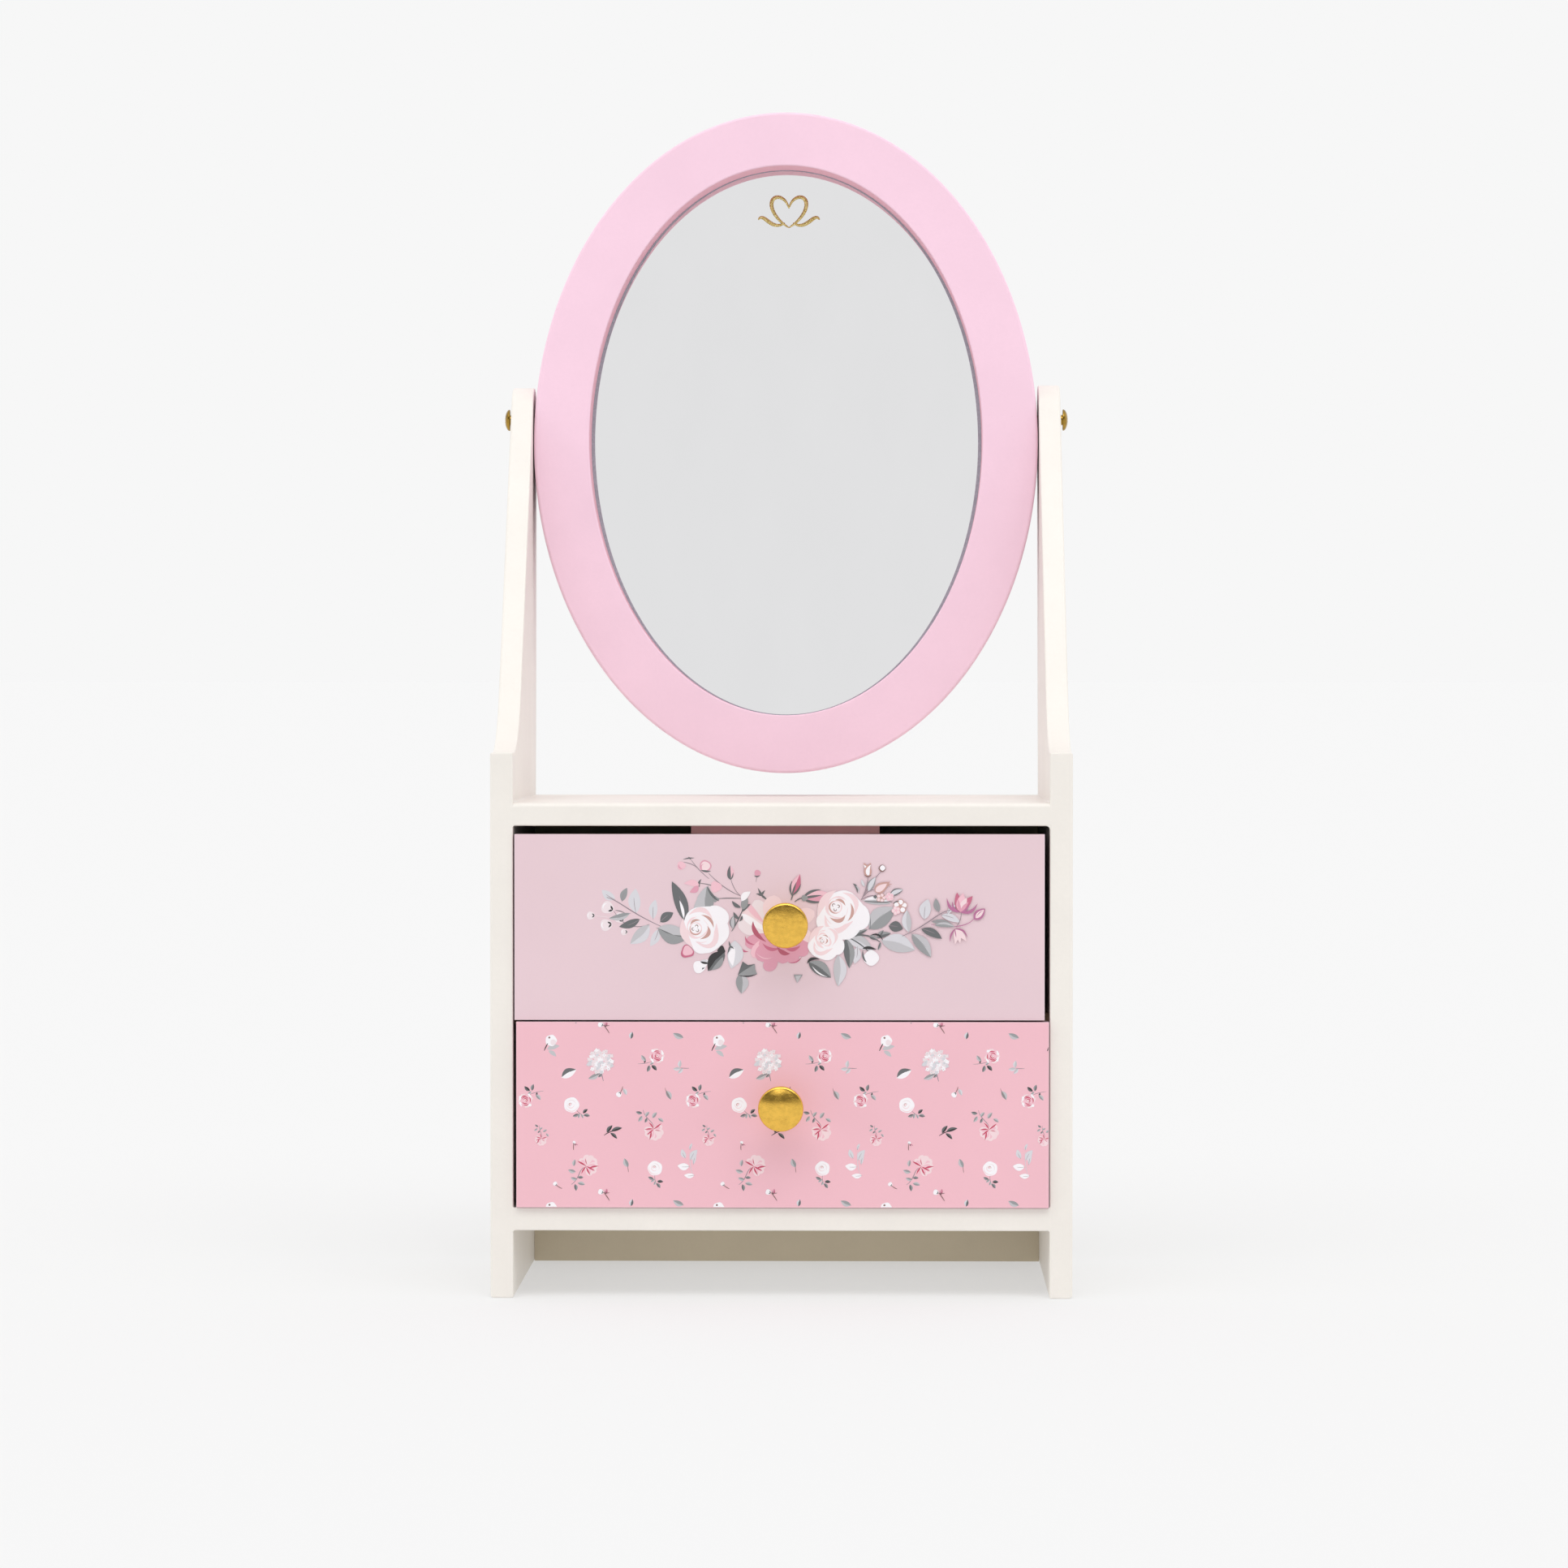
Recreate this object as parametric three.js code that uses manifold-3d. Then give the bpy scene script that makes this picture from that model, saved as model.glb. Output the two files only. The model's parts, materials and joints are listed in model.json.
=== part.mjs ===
// Miniature dressing table: a painted MDF cabinet with two drawers under a swinging oval mirror.
// Units are millimetres. +Z is up and the drawers open towards -Y. The origin is on the floor,
// at the centre of everything the object covers with its mirror nearly upright and its drawers shut.
import * as THREE from 'three';
import { mergeVertices } from 'three/addons/utils/BufferGeometryUtils.js';
import Module from 'manifold-3d';

const wasm = await Module();
wasm.setup();

// ---- Driving dimensions ----

// Cabinet
const WIDTH = 160;
const DEPTH = 100;
const BOARD = 6.3; // painted board thickness
const THIN_BOARD = 3; // back panel and divider
const GLUE_LINE = 0.05; // gap left where one board is glued to another
const FOOT_HEIGHT = 18.6; // clear height under the bottom board
const OPENING_HEIGHT = 105; // between the bottom and top boards
const SHOULDER_HEIGHT = 150; // where the side panels stop being full depth
const SHOULDER_LEDGE = 6; // flat length on top of each shoulder
const SWEEP_TOP = 168; // height where the concave sweep meets the straight front of the post
const POST_SLOPE = THREE.MathUtils.degToRad(29); // front of the post, from the vertical
const POST_RADIUS = 10; // rounded top of the post

// Swinging mirror
const PIVOT_HEIGHT = 245;
const PIVOT_DEPTH = DEPTH - POST_RADIUS;
const PIVOT_ABOVE_CENTRE = 7; // the oval hangs a little low on its pivots, so it rights itself
const MIRROR_LEAN = THREE.MathUtils.degToRad(0.7); // top leaned back
const OVAL_HALF_WIDTH = 72.7;
const OVAL_HALF_HEIGHT = 95.25;
const RIM = 16; // width of the oval frame's face
const OPENING_RISE = 0.7; // the opening is cut a little high in the oval
const FRAME_THICKNESS = 18;
const RECESS = 14.5; // frame face to glass
const REBATE = 2.5; // how far the glass reaches behind the rim
const GLASS = 2;
const BACKING = 1.3;
const PANE_CLEARANCE = 0.3; // round the edge of the glass and its backing

// Drawers
const FRONT_HEIGHT = 51;
const PAPER = 0.2; // printed paper on the drawer fronts
const DRAWER_REST_GAP = 0.2; // between a drawer and what it slides on
const FRONTS_GAP = 0.5; // between the two drawer fronts
const BOX_INSET = 0.8; // drawer box side to front's end
const BOX_WALL = 4;
const BOX_HEIGHT = 44;
const BOX_BACK_DEPTH = 93; // from the cabinet's front to the back of a shut drawer
const BOX_FLOOR = 2.5;
const BOX_FLOOR_LIFT = 1;
const LINING = 1;

// Hardware
const KNOB_LENGTH = 13;
const KNOB_RADIUS = 6.2;
const SHANK_RADIUS = 1.5;
const RUNNING_CLEARANCE = 0.1;
const SCREW_HEAD_RADIUS = 3.1;
const SCREW_HEAD_HEIGHT = 1.5;
const PIVOT_SCREW_LENGTH = 18;
const WASHER = { radius: 2.6, thickness: 0.7 };
const ROUND_SEGMENTS = 24;
const OVAL_SEGMENTS = 48; // an oval outline has twice as many sides

// ---- Derived places ----

const halfInside = WIDTH / 2 - BOARD;
const openingBottom = FOOT_HEIGHT + BOARD;
const openingTop = openingBottom + OPENING_HEIGHT;
const backPanelFront = DEPTH - THIN_BOARD;
const lowerBase = openingBottom + DRAWER_REST_GAP;
const upperBase = lowerBase + FRONT_HEIGHT + FRONTS_GAP;
const dividerHeight = upperBase - FRONTS_GAP / 2;
const dividerFront = BOARD + 2;
const dividerGroove = 1.5;

// Each drawer: how wide its front is, where its front and its box stand, how far the front
// stands proud of the cabinet, how far the drawer sits off centre, and where its hand-fitted
// knob is from the centre of the front.
const DRAWERS = [
  {
    name: 'lower',
    width: 146.2,
    base: lowerBase,
    boxBase: lowerBase,
    proud: 1.4,
    shift: 0.35,
    knobAt: { side: -0.3, rise: 2.5 },
  },
  {
    name: 'upper',
    width: 145.5,
    base: upperBase,
    boxBase: dividerHeight + THIN_BOARD / 2 + DRAWER_REST_GAP,
    proud: 0.6,
    shift: -0.5,
    knobAt: { side: 1.8, rise: 1 },
  },
];

// The object reaches from the lower knob to the top of the leaned-back oval.
const frontReach = Math.max(...DRAWERS.map((d) => d.proud)) + KNOB_LENGTH;
const ovalTop = OVAL_HALF_HEIGHT - PIVOT_ABOVE_CENTRE;
const rearReach =
  PIVOT_DEPTH + (FRAME_THICKNESS / 2) * Math.cos(MIRROR_LEAN) + ovalTop * Math.sin(MIRROR_LEAN);

// ---- Materials ----

const paint = (color, roughness = 0.5) =>
  new THREE.MeshStandardMaterial({ color, roughness, metalness: 0 });
const metal = (color, roughness) =>
  new THREE.MeshStandardMaterial({ color, roughness, metalness: 1 });

const creamPaint = paint(0xefebe3);
const pinkPaint = paint(0xf8d2e5);
const palePink = paint(0xe9cfd7);
const rosePink = paint(0xf1bfcc);
const rawBoard = paint(0xb08d72, 0.8);
const velvet = paint(0xe6b9c4, 0.95);
const hardboard = paint(0x8a6a4d, 0.8);
const nylon = paint(0xf2f0ea, 0.4);
const glitterGold = paint(0xcdb35c, 0.4);
const brass = metal(0xdcae3f, 0.25);
const steel = metal(0xb9bbbe, 0.35);
const silvered = metal(0xe4e4e6, 0.03);

// ---- Geometry helpers ----

// Profile axes (x, y, extrusion) become (depth, height, width) of the object.
const SIDEWAYS = new THREE.Matrix4().makeBasis(
  new THREE.Vector3(0, 1, 0),
  new THREE.Vector3(0, 0, 1),
  new THREE.Vector3(1, 0, 0),
);
// Profile axes (x, y, extrusion) become (width, height, towards the front).
const FACING = new THREE.Matrix4().makeRotationX(Math.PI / 2);

function extruded(shape, length, matrix, curveSegments = ROUND_SEGMENTS) {
  const geometry = new THREE.ExtrudeGeometry(shape, {
    depth: length,
    bevelEnabled: false,
    curveSegments,
  });
  return geometry.applyMatrix4(matrix);
}

// A turned piece along +Y, from a profile of [radius, height] points.
function turned(profile, segments = ROUND_SEGMENTS) {
  const points = profile.map(([radius, height]) => new THREE.Vector2(radius, height));
  return new THREE.LatheGeometry(points, segments);
}

function boxBetween([x0, x1], [y0, y1], [z0, z1]) {
  const geometry = new THREE.BoxGeometry(x1 - x0, y1 - y0, z1 - z0);
  return geometry.translate((x0 + x1) / 2, (y0 + y1) / 2, (z0 + z1) / 2);
}

function solid(geometry) {
  const bare = geometry.clone();
  bare.deleteAttribute('normal');
  bare.deleteAttribute('uv');
  const merged = mergeVertices(bare, 1e-4);
  return new wasm.Manifold(
    new wasm.Mesh({
      numProp: 3,
      vertProperties: new Float32Array(merged.attributes.position.array),
      triVerts: new Uint32Array(merged.index.array),
    }),
  );
}

function toGeometry(manifold) {
  const mesh = manifold.getMesh();
  const geometry = new THREE.BufferGeometry();
  geometry.setAttribute('position', new THREE.BufferAttribute(mesh.vertProperties, 3));
  geometry.setIndex(new THREE.BufferAttribute(mesh.triVerts, 1));
  geometry.computeVertexNormals();
  return geometry;
}

const cut = (geometry, ...tools) =>
  toGeometry(tools.reduce((rest, tool) => rest.subtract(solid(tool)), solid(geometry)));
const join = (...pieces) =>
  toGeometry(pieces.map(solid).reduce((whole, piece) => whole.add(piece)));

function ellipse(halfWidth, halfHeight, centreHeight = 0) {
  const shape = new THREE.Shape();
  shape.absellipse(0, centreHeight, halfWidth, halfHeight, 0, Math.PI * 2);
  return shape;
}

function add(group, name, geometry, material) {
  const mesh = new THREE.Mesh(geometry, material);
  mesh.name = name;
  group.add(mesh);
  return mesh;
}

const board = (group, name, material, width, depth, height) =>
  add(group, name, boxBetween(width, depth, height), material);

// ---- Fasteners and knobs ----

// A round-headed cross-recess screw: its head's seat is at the origin and its shank runs along -Y.
function screwGeometry(shankLength, shankRadius) {
  const dome = new THREE.EllipseCurve(
    0, 0, SCREW_HEAD_RADIUS, SCREW_HEAD_HEIGHT, 0, Math.PI / 2,
  ).getPoints(6);
  const body = turned([
    [0, -shankLength],
    [shankRadius * 0.4, -shankLength],
    [shankRadius, -shankLength + shankRadius * 1.5],
    [shankRadius, 0],
    ...dome.slice(0, -1).map((p) => [p.x, p.y]),
    [0, SCREW_HEAD_HEIGHT],
  ]);
  const slot = { length: 3.2, width: 0.7, depth: 0.8 };
  const along = [-slot.length / 2, slot.length / 2];
  const across = [-slot.width / 2, slot.width / 2];
  const deep = [SCREW_HEAD_HEIGHT - slot.depth, SCREW_HEAD_HEIGHT + 1];
  return cut(body, boxBetween(along, deep, across), boxBetween(across, deep, along));
}

// A mushroom knob along +Y with a foot flange, a waist, a flared head and a blind screw hole.
function knobGeometry() {
  const hole = SHANK_RADIUS + RUNNING_CLEARANCE;
  const holeDepth = 8;
  const flange = { radius: 4, height: 1.1 };
  const waistRadius = 2.7;
  const rimHeight = KNOB_LENGTH - 1.9;
  const flare = new THREE.CubicBezierCurve(
    new THREE.Vector2(waistRadius, flange.height + 2.2),
    new THREE.Vector2(waistRadius, flange.height + 5.6),
    new THREE.Vector2(waistRadius + 1.8, rimHeight - 1.6),
    new THREE.Vector2(KNOB_RADIUS, rimHeight),
  ).getPoints(8);
  const faceRadius = KNOB_RADIUS - 1;
  return turned([
    [0, holeDepth],
    [hole, holeDepth],
    [hole, 0],
    [flange.radius, 0],
    [flange.radius, flange.height],
    ...flare.map((p) => [p.x, p.y]),
    [KNOB_RADIUS, KNOB_LENGTH - 1.1],
    [KNOB_RADIUS - 0.3, KNOB_LENGTH - 0.6],
    [faceRadius, KNOB_LENGTH - 0.35],
    [0, KNOB_LENGTH],
  ], 32);
}

// ---- Cabinet ----

// The side panel seen from the side: a foot-to-shoulder slab, a concave sweep and a round-topped post.
function sideProfile() {
  const tangent = Math.PI - POST_SLOPE; // where the sloping front meets the round top
  const meet = {
    depth: PIVOT_DEPTH + POST_RADIUS * Math.cos(tangent),
    height: PIVOT_HEIGHT + POST_RADIUS * Math.sin(tangent),
  };
  const slopeDepth = (height) => meet.depth - (meet.height - height) * Math.tan(POST_SLOPE);
  const shape = new THREE.Shape();
  shape.moveTo(0, 0);
  shape.lineTo(DEPTH, 0);
  shape.lineTo(DEPTH, PIVOT_HEIGHT);
  shape.absarc(PIVOT_DEPTH, PIVOT_HEIGHT, POST_RADIUS, 0, tangent);
  shape.lineTo(slopeDepth(SWEEP_TOP), SWEEP_TOP);
  shape.quadraticCurveTo(
    slopeDepth(SHOULDER_HEIGHT), SHOULDER_HEIGHT, SHOULDER_LEDGE, SHOULDER_HEIGHT,
  );
  shape.lineTo(0, SHOULDER_HEIGHT);
  const screwHole = new THREE.Path();
  screwHole.absarc(
    PIVOT_DEPTH, PIVOT_HEIGHT, SHANK_RADIUS + RUNNING_CLEARANCE, 0, Math.PI * 2,
  );
  shape.holes.push(screwHole);
  return shape;
}

const dividerSpan = [dividerHeight - THIN_BOARD / 2, dividerHeight + THIN_BOARD / 2];

function sidePanel(side) {
  const slab = extruded(sideProfile(), BOARD, SIDEWAYS, 16);
  slab.translate(side > 0 ? halfInside : -WIDTH / 2, 0, 0);
  const groove = boxBetween(
    [side * halfInside - dividerGroove, side * halfInside + dividerGroove],
    [dividerFront - 0.1, DEPTH + 1],
    [dividerSpan[0] - 0.1, dividerSpan[1] + 0.1],
  );
  return cut(slab, groove);
}

function buildCabinet() {
  const cabinet = new THREE.Group();
  const between = [-halfInside + GLUE_LINE, halfInside - GLUE_LINE];
  const dividerReach = halfInside + dividerGroove - 0.1;
  add(cabinet, 'side_panel_left', sidePanel(-1), creamPaint);
  add(cabinet, 'side_panel_right', sidePanel(1), creamPaint);
  board(cabinet, 'top_board', creamPaint, between, [0, DEPTH], [openingTop, openingTop + BOARD]);
  board(
    cabinet, 'bottom_board', creamPaint,
    between, [0, backPanelFront - GLUE_LINE], [FOOT_HEIGHT, openingBottom],
  );
  board(
    cabinet, 'back_panel', creamPaint,
    between, [backPanelFront, DEPTH], [0, openingTop - GLUE_LINE],
  );
  board(
    cabinet, 'drawer_divider', rawBoard,
    [-dividerReach, dividerReach], [dividerFront, backPanelFront - GLUE_LINE], dividerSpan,
  );
  // A block under the top that keeps the upper drawer from tipping as it is pulled out.
  board(
    cabinet, 'drawer_kicker', rosePink,
    [-25, 27], [dividerFront, dividerFront + 20], [openingTop - BOARD, openingTop - GLUE_LINE],
  );
  return cabinet;
}

// ---- Mirror ----

// Everything in this group is drawn upright, with the pivot line through the group's origin.
function frameGeometry() {
  const ring = (innerHalfWidth, innerHalfHeight, thickness, rearDepth) => {
    const shape = ellipse(OVAL_HALF_WIDTH, OVAL_HALF_HEIGHT, -PIVOT_ABOVE_CENTRE);
    shape.holes.push(ellipse(innerHalfWidth, innerHalfHeight, OPENING_RISE - PIVOT_ABOVE_CENTRE));
    return extruded(shape, thickness, FACING, OVAL_SEGMENTS).translate(0, rearDepth, 0);
  };
  const openWidth = OVAL_HALF_WIDTH - RIM;
  const openHeight = OVAL_HALF_HEIGHT - RIM;
  const face = ring(openWidth, openHeight, RECESS, RECESS - FRAME_THICKNESS / 2);
  const rebate = ring(
    openWidth + REBATE, openHeight + REBATE, FRAME_THICKNESS - RECESS, FRAME_THICKNESS / 2,
  );
  const screwHoles = [-1, 1].map((side) => {
    const hole = new THREE.CylinderGeometry(
      SHANK_RADIUS + RUNNING_CLEARANCE, SHANK_RADIUS + RUNNING_CLEARANCE, 26, ROUND_SEGMENTS,
    );
    return hole.rotateZ(Math.PI / 2).translate(side * OVAL_HALF_WIDTH, 0, 0);
  });
  return cut(join(face, rebate), ...screwHoles);
}

function pane(thickness, frontDepth) {
  const halfWidth = OVAL_HALF_WIDTH - RIM + REBATE - PANE_CLEARANCE;
  const halfHeight = OVAL_HALF_HEIGHT - RIM + REBATE - PANE_CLEARANCE;
  const shape = ellipse(halfWidth, halfHeight, OPENING_RISE - PIVOT_ABOVE_CENTRE);
  return extruded(shape, thickness, FACING, OVAL_SEGMENTS).translate(0, frontDepth + thickness, 0);
}

// A flat pen stroke along a curve: full width in the middle, tapering towards both ends.
function stroke(curve, width, thickness) {
  const steps = 24;
  const sides = [[], []];
  for (let i = 0; i <= steps; i += 1) {
    const t = i / steps;
    const point = curve.getPoint(t);
    const tangent = curve.getTangent(t);
    const half = (width / 2) * (0.35 + 0.65 * Math.sin(Math.PI * t));
    sides[0].push(new THREE.Vector2(point.x - tangent.y * half, point.y + tangent.x * half));
    sides[1].unshift(new THREE.Vector2(point.x + tangent.y * half, point.y - tangent.x * half));
  }
  return extruded(new THREE.Shape([...sides[0], ...sides[1]]), thickness, FACING);
}

// A gold glitter heart with a curling flourish on each side, stuck to the glass.
function heartMotif(thickness) {
  const heart = new THREE.Shape();
  heart.moveTo(0, -4.6);
  heart.bezierCurveTo(-2.8, -2.2, -5.0, -0.2, -5.0, 2.2);
  heart.bezierCurveTo(-5.0, 5.2, -1.2, 5.8, 0, 2.8);
  heart.bezierCurveTo(1.2, 5.8, 5.0, 5.2, 5.0, 2.2);
  heart.bezierCurveTo(5.0, -0.2, 2.8, -2.2, 0, -4.6);
  const flourishes = [-1, 1].map((side) => {
    const at = (x, y) => new THREE.Vector2(side * x, y);
    const curve = new THREE.CubicBezierCurve(
      at(1.8, -2.8), at(5.0, -6.0), at(7.6, -0.8), at(9.0, -2.8),
    );
    return stroke(curve, 1.3, thickness);
  });
  return join(extruded(heart, thickness, FACING, 10), ...flourishes);
}

function buildMirror() {
  const mirror = new THREE.Group();
  mirror.position.set(0, PIVOT_DEPTH, PIVOT_HEIGHT);
  mirror.rotation.x = -MIRROR_LEAN;

  const glassFront = RECESS - FRAME_THICKNESS / 2 + GLUE_LINE;
  const backingFront = glassFront + GLASS + GLUE_LINE;
  const motifThickness = 0.4;
  const motifHeight = 60.4;
  add(mirror, 'mirror_frame', frameGeometry(), pinkPaint);
  add(mirror, 'mirror_glass', pane(GLASS, glassFront), silvered);
  add(mirror, 'mirror_backing', pane(BACKING, backingFront), hardboard);
  const motif = add(mirror, 'glitter_motif', heartMotif(motifThickness), glitterGold);
  motif.position.set(0.7, glassFront - GLUE_LINE, motifHeight);

  for (const [side, label] of [[-1, 'left'], [1, 'right']]) {
    const outward = side > 0 ? -Math.PI / 2 : Math.PI / 2;
    const screwShape = screwGeometry(PIVOT_SCREW_LENGTH, SHANK_RADIUS);
    const screw = add(mirror, `pivot_screw_${label}`, screwShape, brass);
    screw.rotation.z = outward;
    screw.position.x = side * (WIDTH / 2 + RUNNING_CLEARANCE);

    const bore = SHANK_RADIUS + RUNNING_CLEARANCE;
    const ring = turned([
      [bore, 0],
      [WASHER.radius, 0],
      [WASHER.radius, WASHER.thickness],
      [bore, WASHER.thickness],
      [bore, 0],
    ]);
    const washer = add(mirror, `pivot_washer_${label}`, ring, nylon);
    washer.rotation.z = outward;
    washer.position.x = side * (halfInside - WASHER.thickness - 0.15);
  }
  return mirror;
}

// ---- Drawers ----

function buildDrawer({ name, width, base, boxBase, proud, shift, knobAt }, facing) {
  const drawer = new THREE.Group();
  drawer.position.set(shift, 0, 0);
  const frontWidth = [-width / 2, width / 2];
  const frontHeight = [base, base + FRONT_HEIGHT];
  const paperFace = -proud;
  const frontFace = paperFace + PAPER + GLUE_LINE;
  const frontBack = frontFace + BOARD;
  const knobHeight = base + FRONT_HEIGHT / 2 + knobAt.rise;

  const screwHole = new THREE.CylinderGeometry(
    SHANK_RADIUS + RUNNING_CLEARANCE, SHANK_RADIUS + RUNNING_CLEARANCE, 40, ROUND_SEGMENTS,
  ).translate(knobAt.side, 0, knobHeight);
  const front = boxBetween(frontWidth, [frontFace, frontBack], frontHeight);
  add(drawer, `${name}_drawer_front`, cut(front, screwHole), palePink);
  const paper = boxBetween(frontWidth, [paperFace, paperFace + PAPER], frontHeight);
  add(drawer, `${name}_print_paper`, cut(paper, screwHole), facing);

  const outer = width / 2 - BOX_INSET;
  const inner = outer - BOX_WALL;
  const boxFront = frontBack + GLUE_LINE;
  const boxHeight = [boxBase, boxBase + BOX_HEIGHT];
  const backFace = BOX_BACK_DEPTH - BOX_WALL;
  const within = [-inner + GLUE_LINE, inner - GLUE_LINE];
  const floorTop = boxBase + BOX_FLOOR_LIFT + BOX_FLOOR;
  const floorDepth = [boxFront, backFace - GLUE_LINE];
  board(
    drawer, `${name}_drawer_side_left`, palePink,
    [-outer, -inner], [boxFront, BOX_BACK_DEPTH], boxHeight,
  );
  board(
    drawer, `${name}_drawer_side_right`, palePink,
    [inner, outer], [boxFront, BOX_BACK_DEPTH], boxHeight,
  );
  board(drawer, `${name}_drawer_back`, palePink, within, [backFace, BOX_BACK_DEPTH], boxHeight);
  board(
    drawer, `${name}_drawer_floor`, palePink,
    within, floorDepth, [boxBase + BOX_FLOOR_LIFT, floorTop],
  );
  board(
    drawer, `${name}_drawer_lining`, velvet,
    [within[0] + 0.4, within[1] - 0.4], [floorDepth[0] + 0.4, floorDepth[1] - 0.4],
    [floorTop + GLUE_LINE, floorTop + GLUE_LINE + LINING],
  );

  const knob = add(drawer, `${name}_knob`, knobGeometry(), brass);
  knob.position.set(knobAt.side, paperFace - GLUE_LINE, knobHeight);
  knob.rotation.z = Math.PI;
  const screwShape = screwGeometry(BOARD + PAPER + 7, SHANK_RADIUS);
  const screw = add(drawer, `${name}_knob_screw`, screwShape, steel);
  screw.position.set(knobAt.side, boxFront, knobHeight);
  return drawer;
}

// ---- Assembly ----

const assembly = new THREE.Group();
assembly.position.y = -(rearReach - frontReach - GLUE_LINE) / 2;
assembly.add(buildCabinet());
assembly.add(buildMirror());
assembly.add(buildDrawer(DRAWERS[0], rosePink));
assembly.add(buildDrawer(DRAWERS[1], palePink));

const dressingTable = new THREE.Group();
dressingTable.add(assembly);

export default dressingTable;
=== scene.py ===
"""The looks of a miniature dressing table: painted boards, printed drawer fronts, brass and mirror.

Lengths are millimetres in the row frame (x to the right, y to the back, z up), and MM turns them
into Blender's metres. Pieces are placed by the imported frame's boxes and joints.
"""
import json
import math
import random
from contextlib import contextmanager

import bmesh
import bpy
from mathutils import Matrix, Vector


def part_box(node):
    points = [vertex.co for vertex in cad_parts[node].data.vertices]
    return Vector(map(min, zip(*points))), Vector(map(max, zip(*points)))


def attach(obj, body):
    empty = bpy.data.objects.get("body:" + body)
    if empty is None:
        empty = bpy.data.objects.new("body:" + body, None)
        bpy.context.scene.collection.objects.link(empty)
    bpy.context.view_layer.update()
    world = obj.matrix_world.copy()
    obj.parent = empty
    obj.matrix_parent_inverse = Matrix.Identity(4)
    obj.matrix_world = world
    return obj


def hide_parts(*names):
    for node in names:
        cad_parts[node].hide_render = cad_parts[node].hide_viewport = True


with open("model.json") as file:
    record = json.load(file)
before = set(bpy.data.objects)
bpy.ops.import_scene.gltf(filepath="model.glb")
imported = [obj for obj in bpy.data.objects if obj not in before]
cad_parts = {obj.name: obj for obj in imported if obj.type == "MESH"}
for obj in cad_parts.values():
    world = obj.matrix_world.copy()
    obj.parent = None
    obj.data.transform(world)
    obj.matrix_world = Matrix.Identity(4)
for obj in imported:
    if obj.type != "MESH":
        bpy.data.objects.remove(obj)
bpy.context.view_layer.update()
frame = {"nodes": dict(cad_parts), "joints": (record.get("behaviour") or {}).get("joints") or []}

MM = 0.001
SIDES = {"left": -1, "right": 1}
DRAWERS = ("lower", "upper")


def corners(node):
    """A CAD node's lowest and highest corners, in millimetres."""
    low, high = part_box(node)
    return Vector(low) / MM, Vector(high) / MM


# ---- Sizes ----

panel_low, panel_high = corners("side_panel_right")
FRONT = panel_low.y  # the cabinet's front plane
DEPTH = panel_high.y - panel_low.y
SHOULDER_HEIGHT = 150.0
SHOULDER_LEDGE = 6.0
SWEEP_TOP = 168.0
POST_SLOPE = math.radians(29)
POST_RADIUS = 10.0
POST_LEAN = 0.85  # how far the posts' tops have been pulled in by the screws
POST_SAG = {"left": 0.7, "right": 0.0}  # the left post ends a little lower
PANEL_EDGE = 0.4  # edge radius of the panels and boards
OUTER_EDGE = 0.65  # the panels' outside edges are sanded rounder
FOOT_EDGE = 0.9
TOP_EDGE = 1.3  # upper front edge of the top board
TUCK = 0.05  # how far a part runs into the next where paint or glass closes the joint

tilt = next(joint for joint in frame["joints"] if joint["name"] == "mirror_tilt")
PIVOT = Vector(tilt["pos_m"]) / MM
MIRROR_LEAN = math.radians(0.7)
OVAL = (72.7, 95.25)  # half width and half height of the frame
OVAL_DROP = 7.0  # centre of the oval below the pivots
RIM = 16.0
OPENING_RISE = 0.7  # centre of the opening above the oval's
FRAME_THICKNESS = 18.0
RECESS = 14.5
GLASS = 2.0
OVAL_STEPS = 192
SHADED_WALL_REFLECTION_BAND = (1.0, 0.25)  # width of the grey band of painted reflection of the shaded recess wall, at the sides, and at the top and bottom

KNOB_RADIUS = 6.2
KNOB_LENGTH = 13.0
SCREW_HEAD = (3.1, 1.5)  # radius and height

# ---- Camera ----

CAMERA_DISTANCE = 1542.0  # in front of the cabinet's front plane
CAMERA_SIDE = 24.8
CAMERA_HEIGHT = 173.9
CAMERA_YAW = math.radians(0.893)
CAMERA_PITCH = math.radians(-1.207)
CAMERA_LENS = 129.1  # focal length on a 36 mm wide sensor


def make_camera():
    data = bpy.data.cameras.new("camera")
    data.sensor_width = 36
    data.lens = CAMERA_LENS
    camera = bpy.data.objects.new("camera", data)
    bpy.context.collection.objects.link(camera)
    camera.location = Vector((CAMERA_SIDE, FRONT - CAMERA_DISTANCE, CAMERA_HEIGHT)) * MM
    camera.rotation_euler = (math.pi / 2 + CAMERA_PITCH, 0, CAMERA_YAW)
    bpy.context.scene.camera = camera


# ---- Colours and material building ----


def srgb(red, green, blue):
    """A linear colour from 0-255 screen values."""
    channels = []
    for value in (red, green, blue):
        value /= 255
        channels.append(value / 12.92 if value <= 0.04045 else ((value + 0.055) / 1.055) ** 2.4)
    return (*channels, 1.0)


def shade(colour, factor):
    return (*(min(1.0, c * factor) for c in colour[:3]), 1.0)


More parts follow.
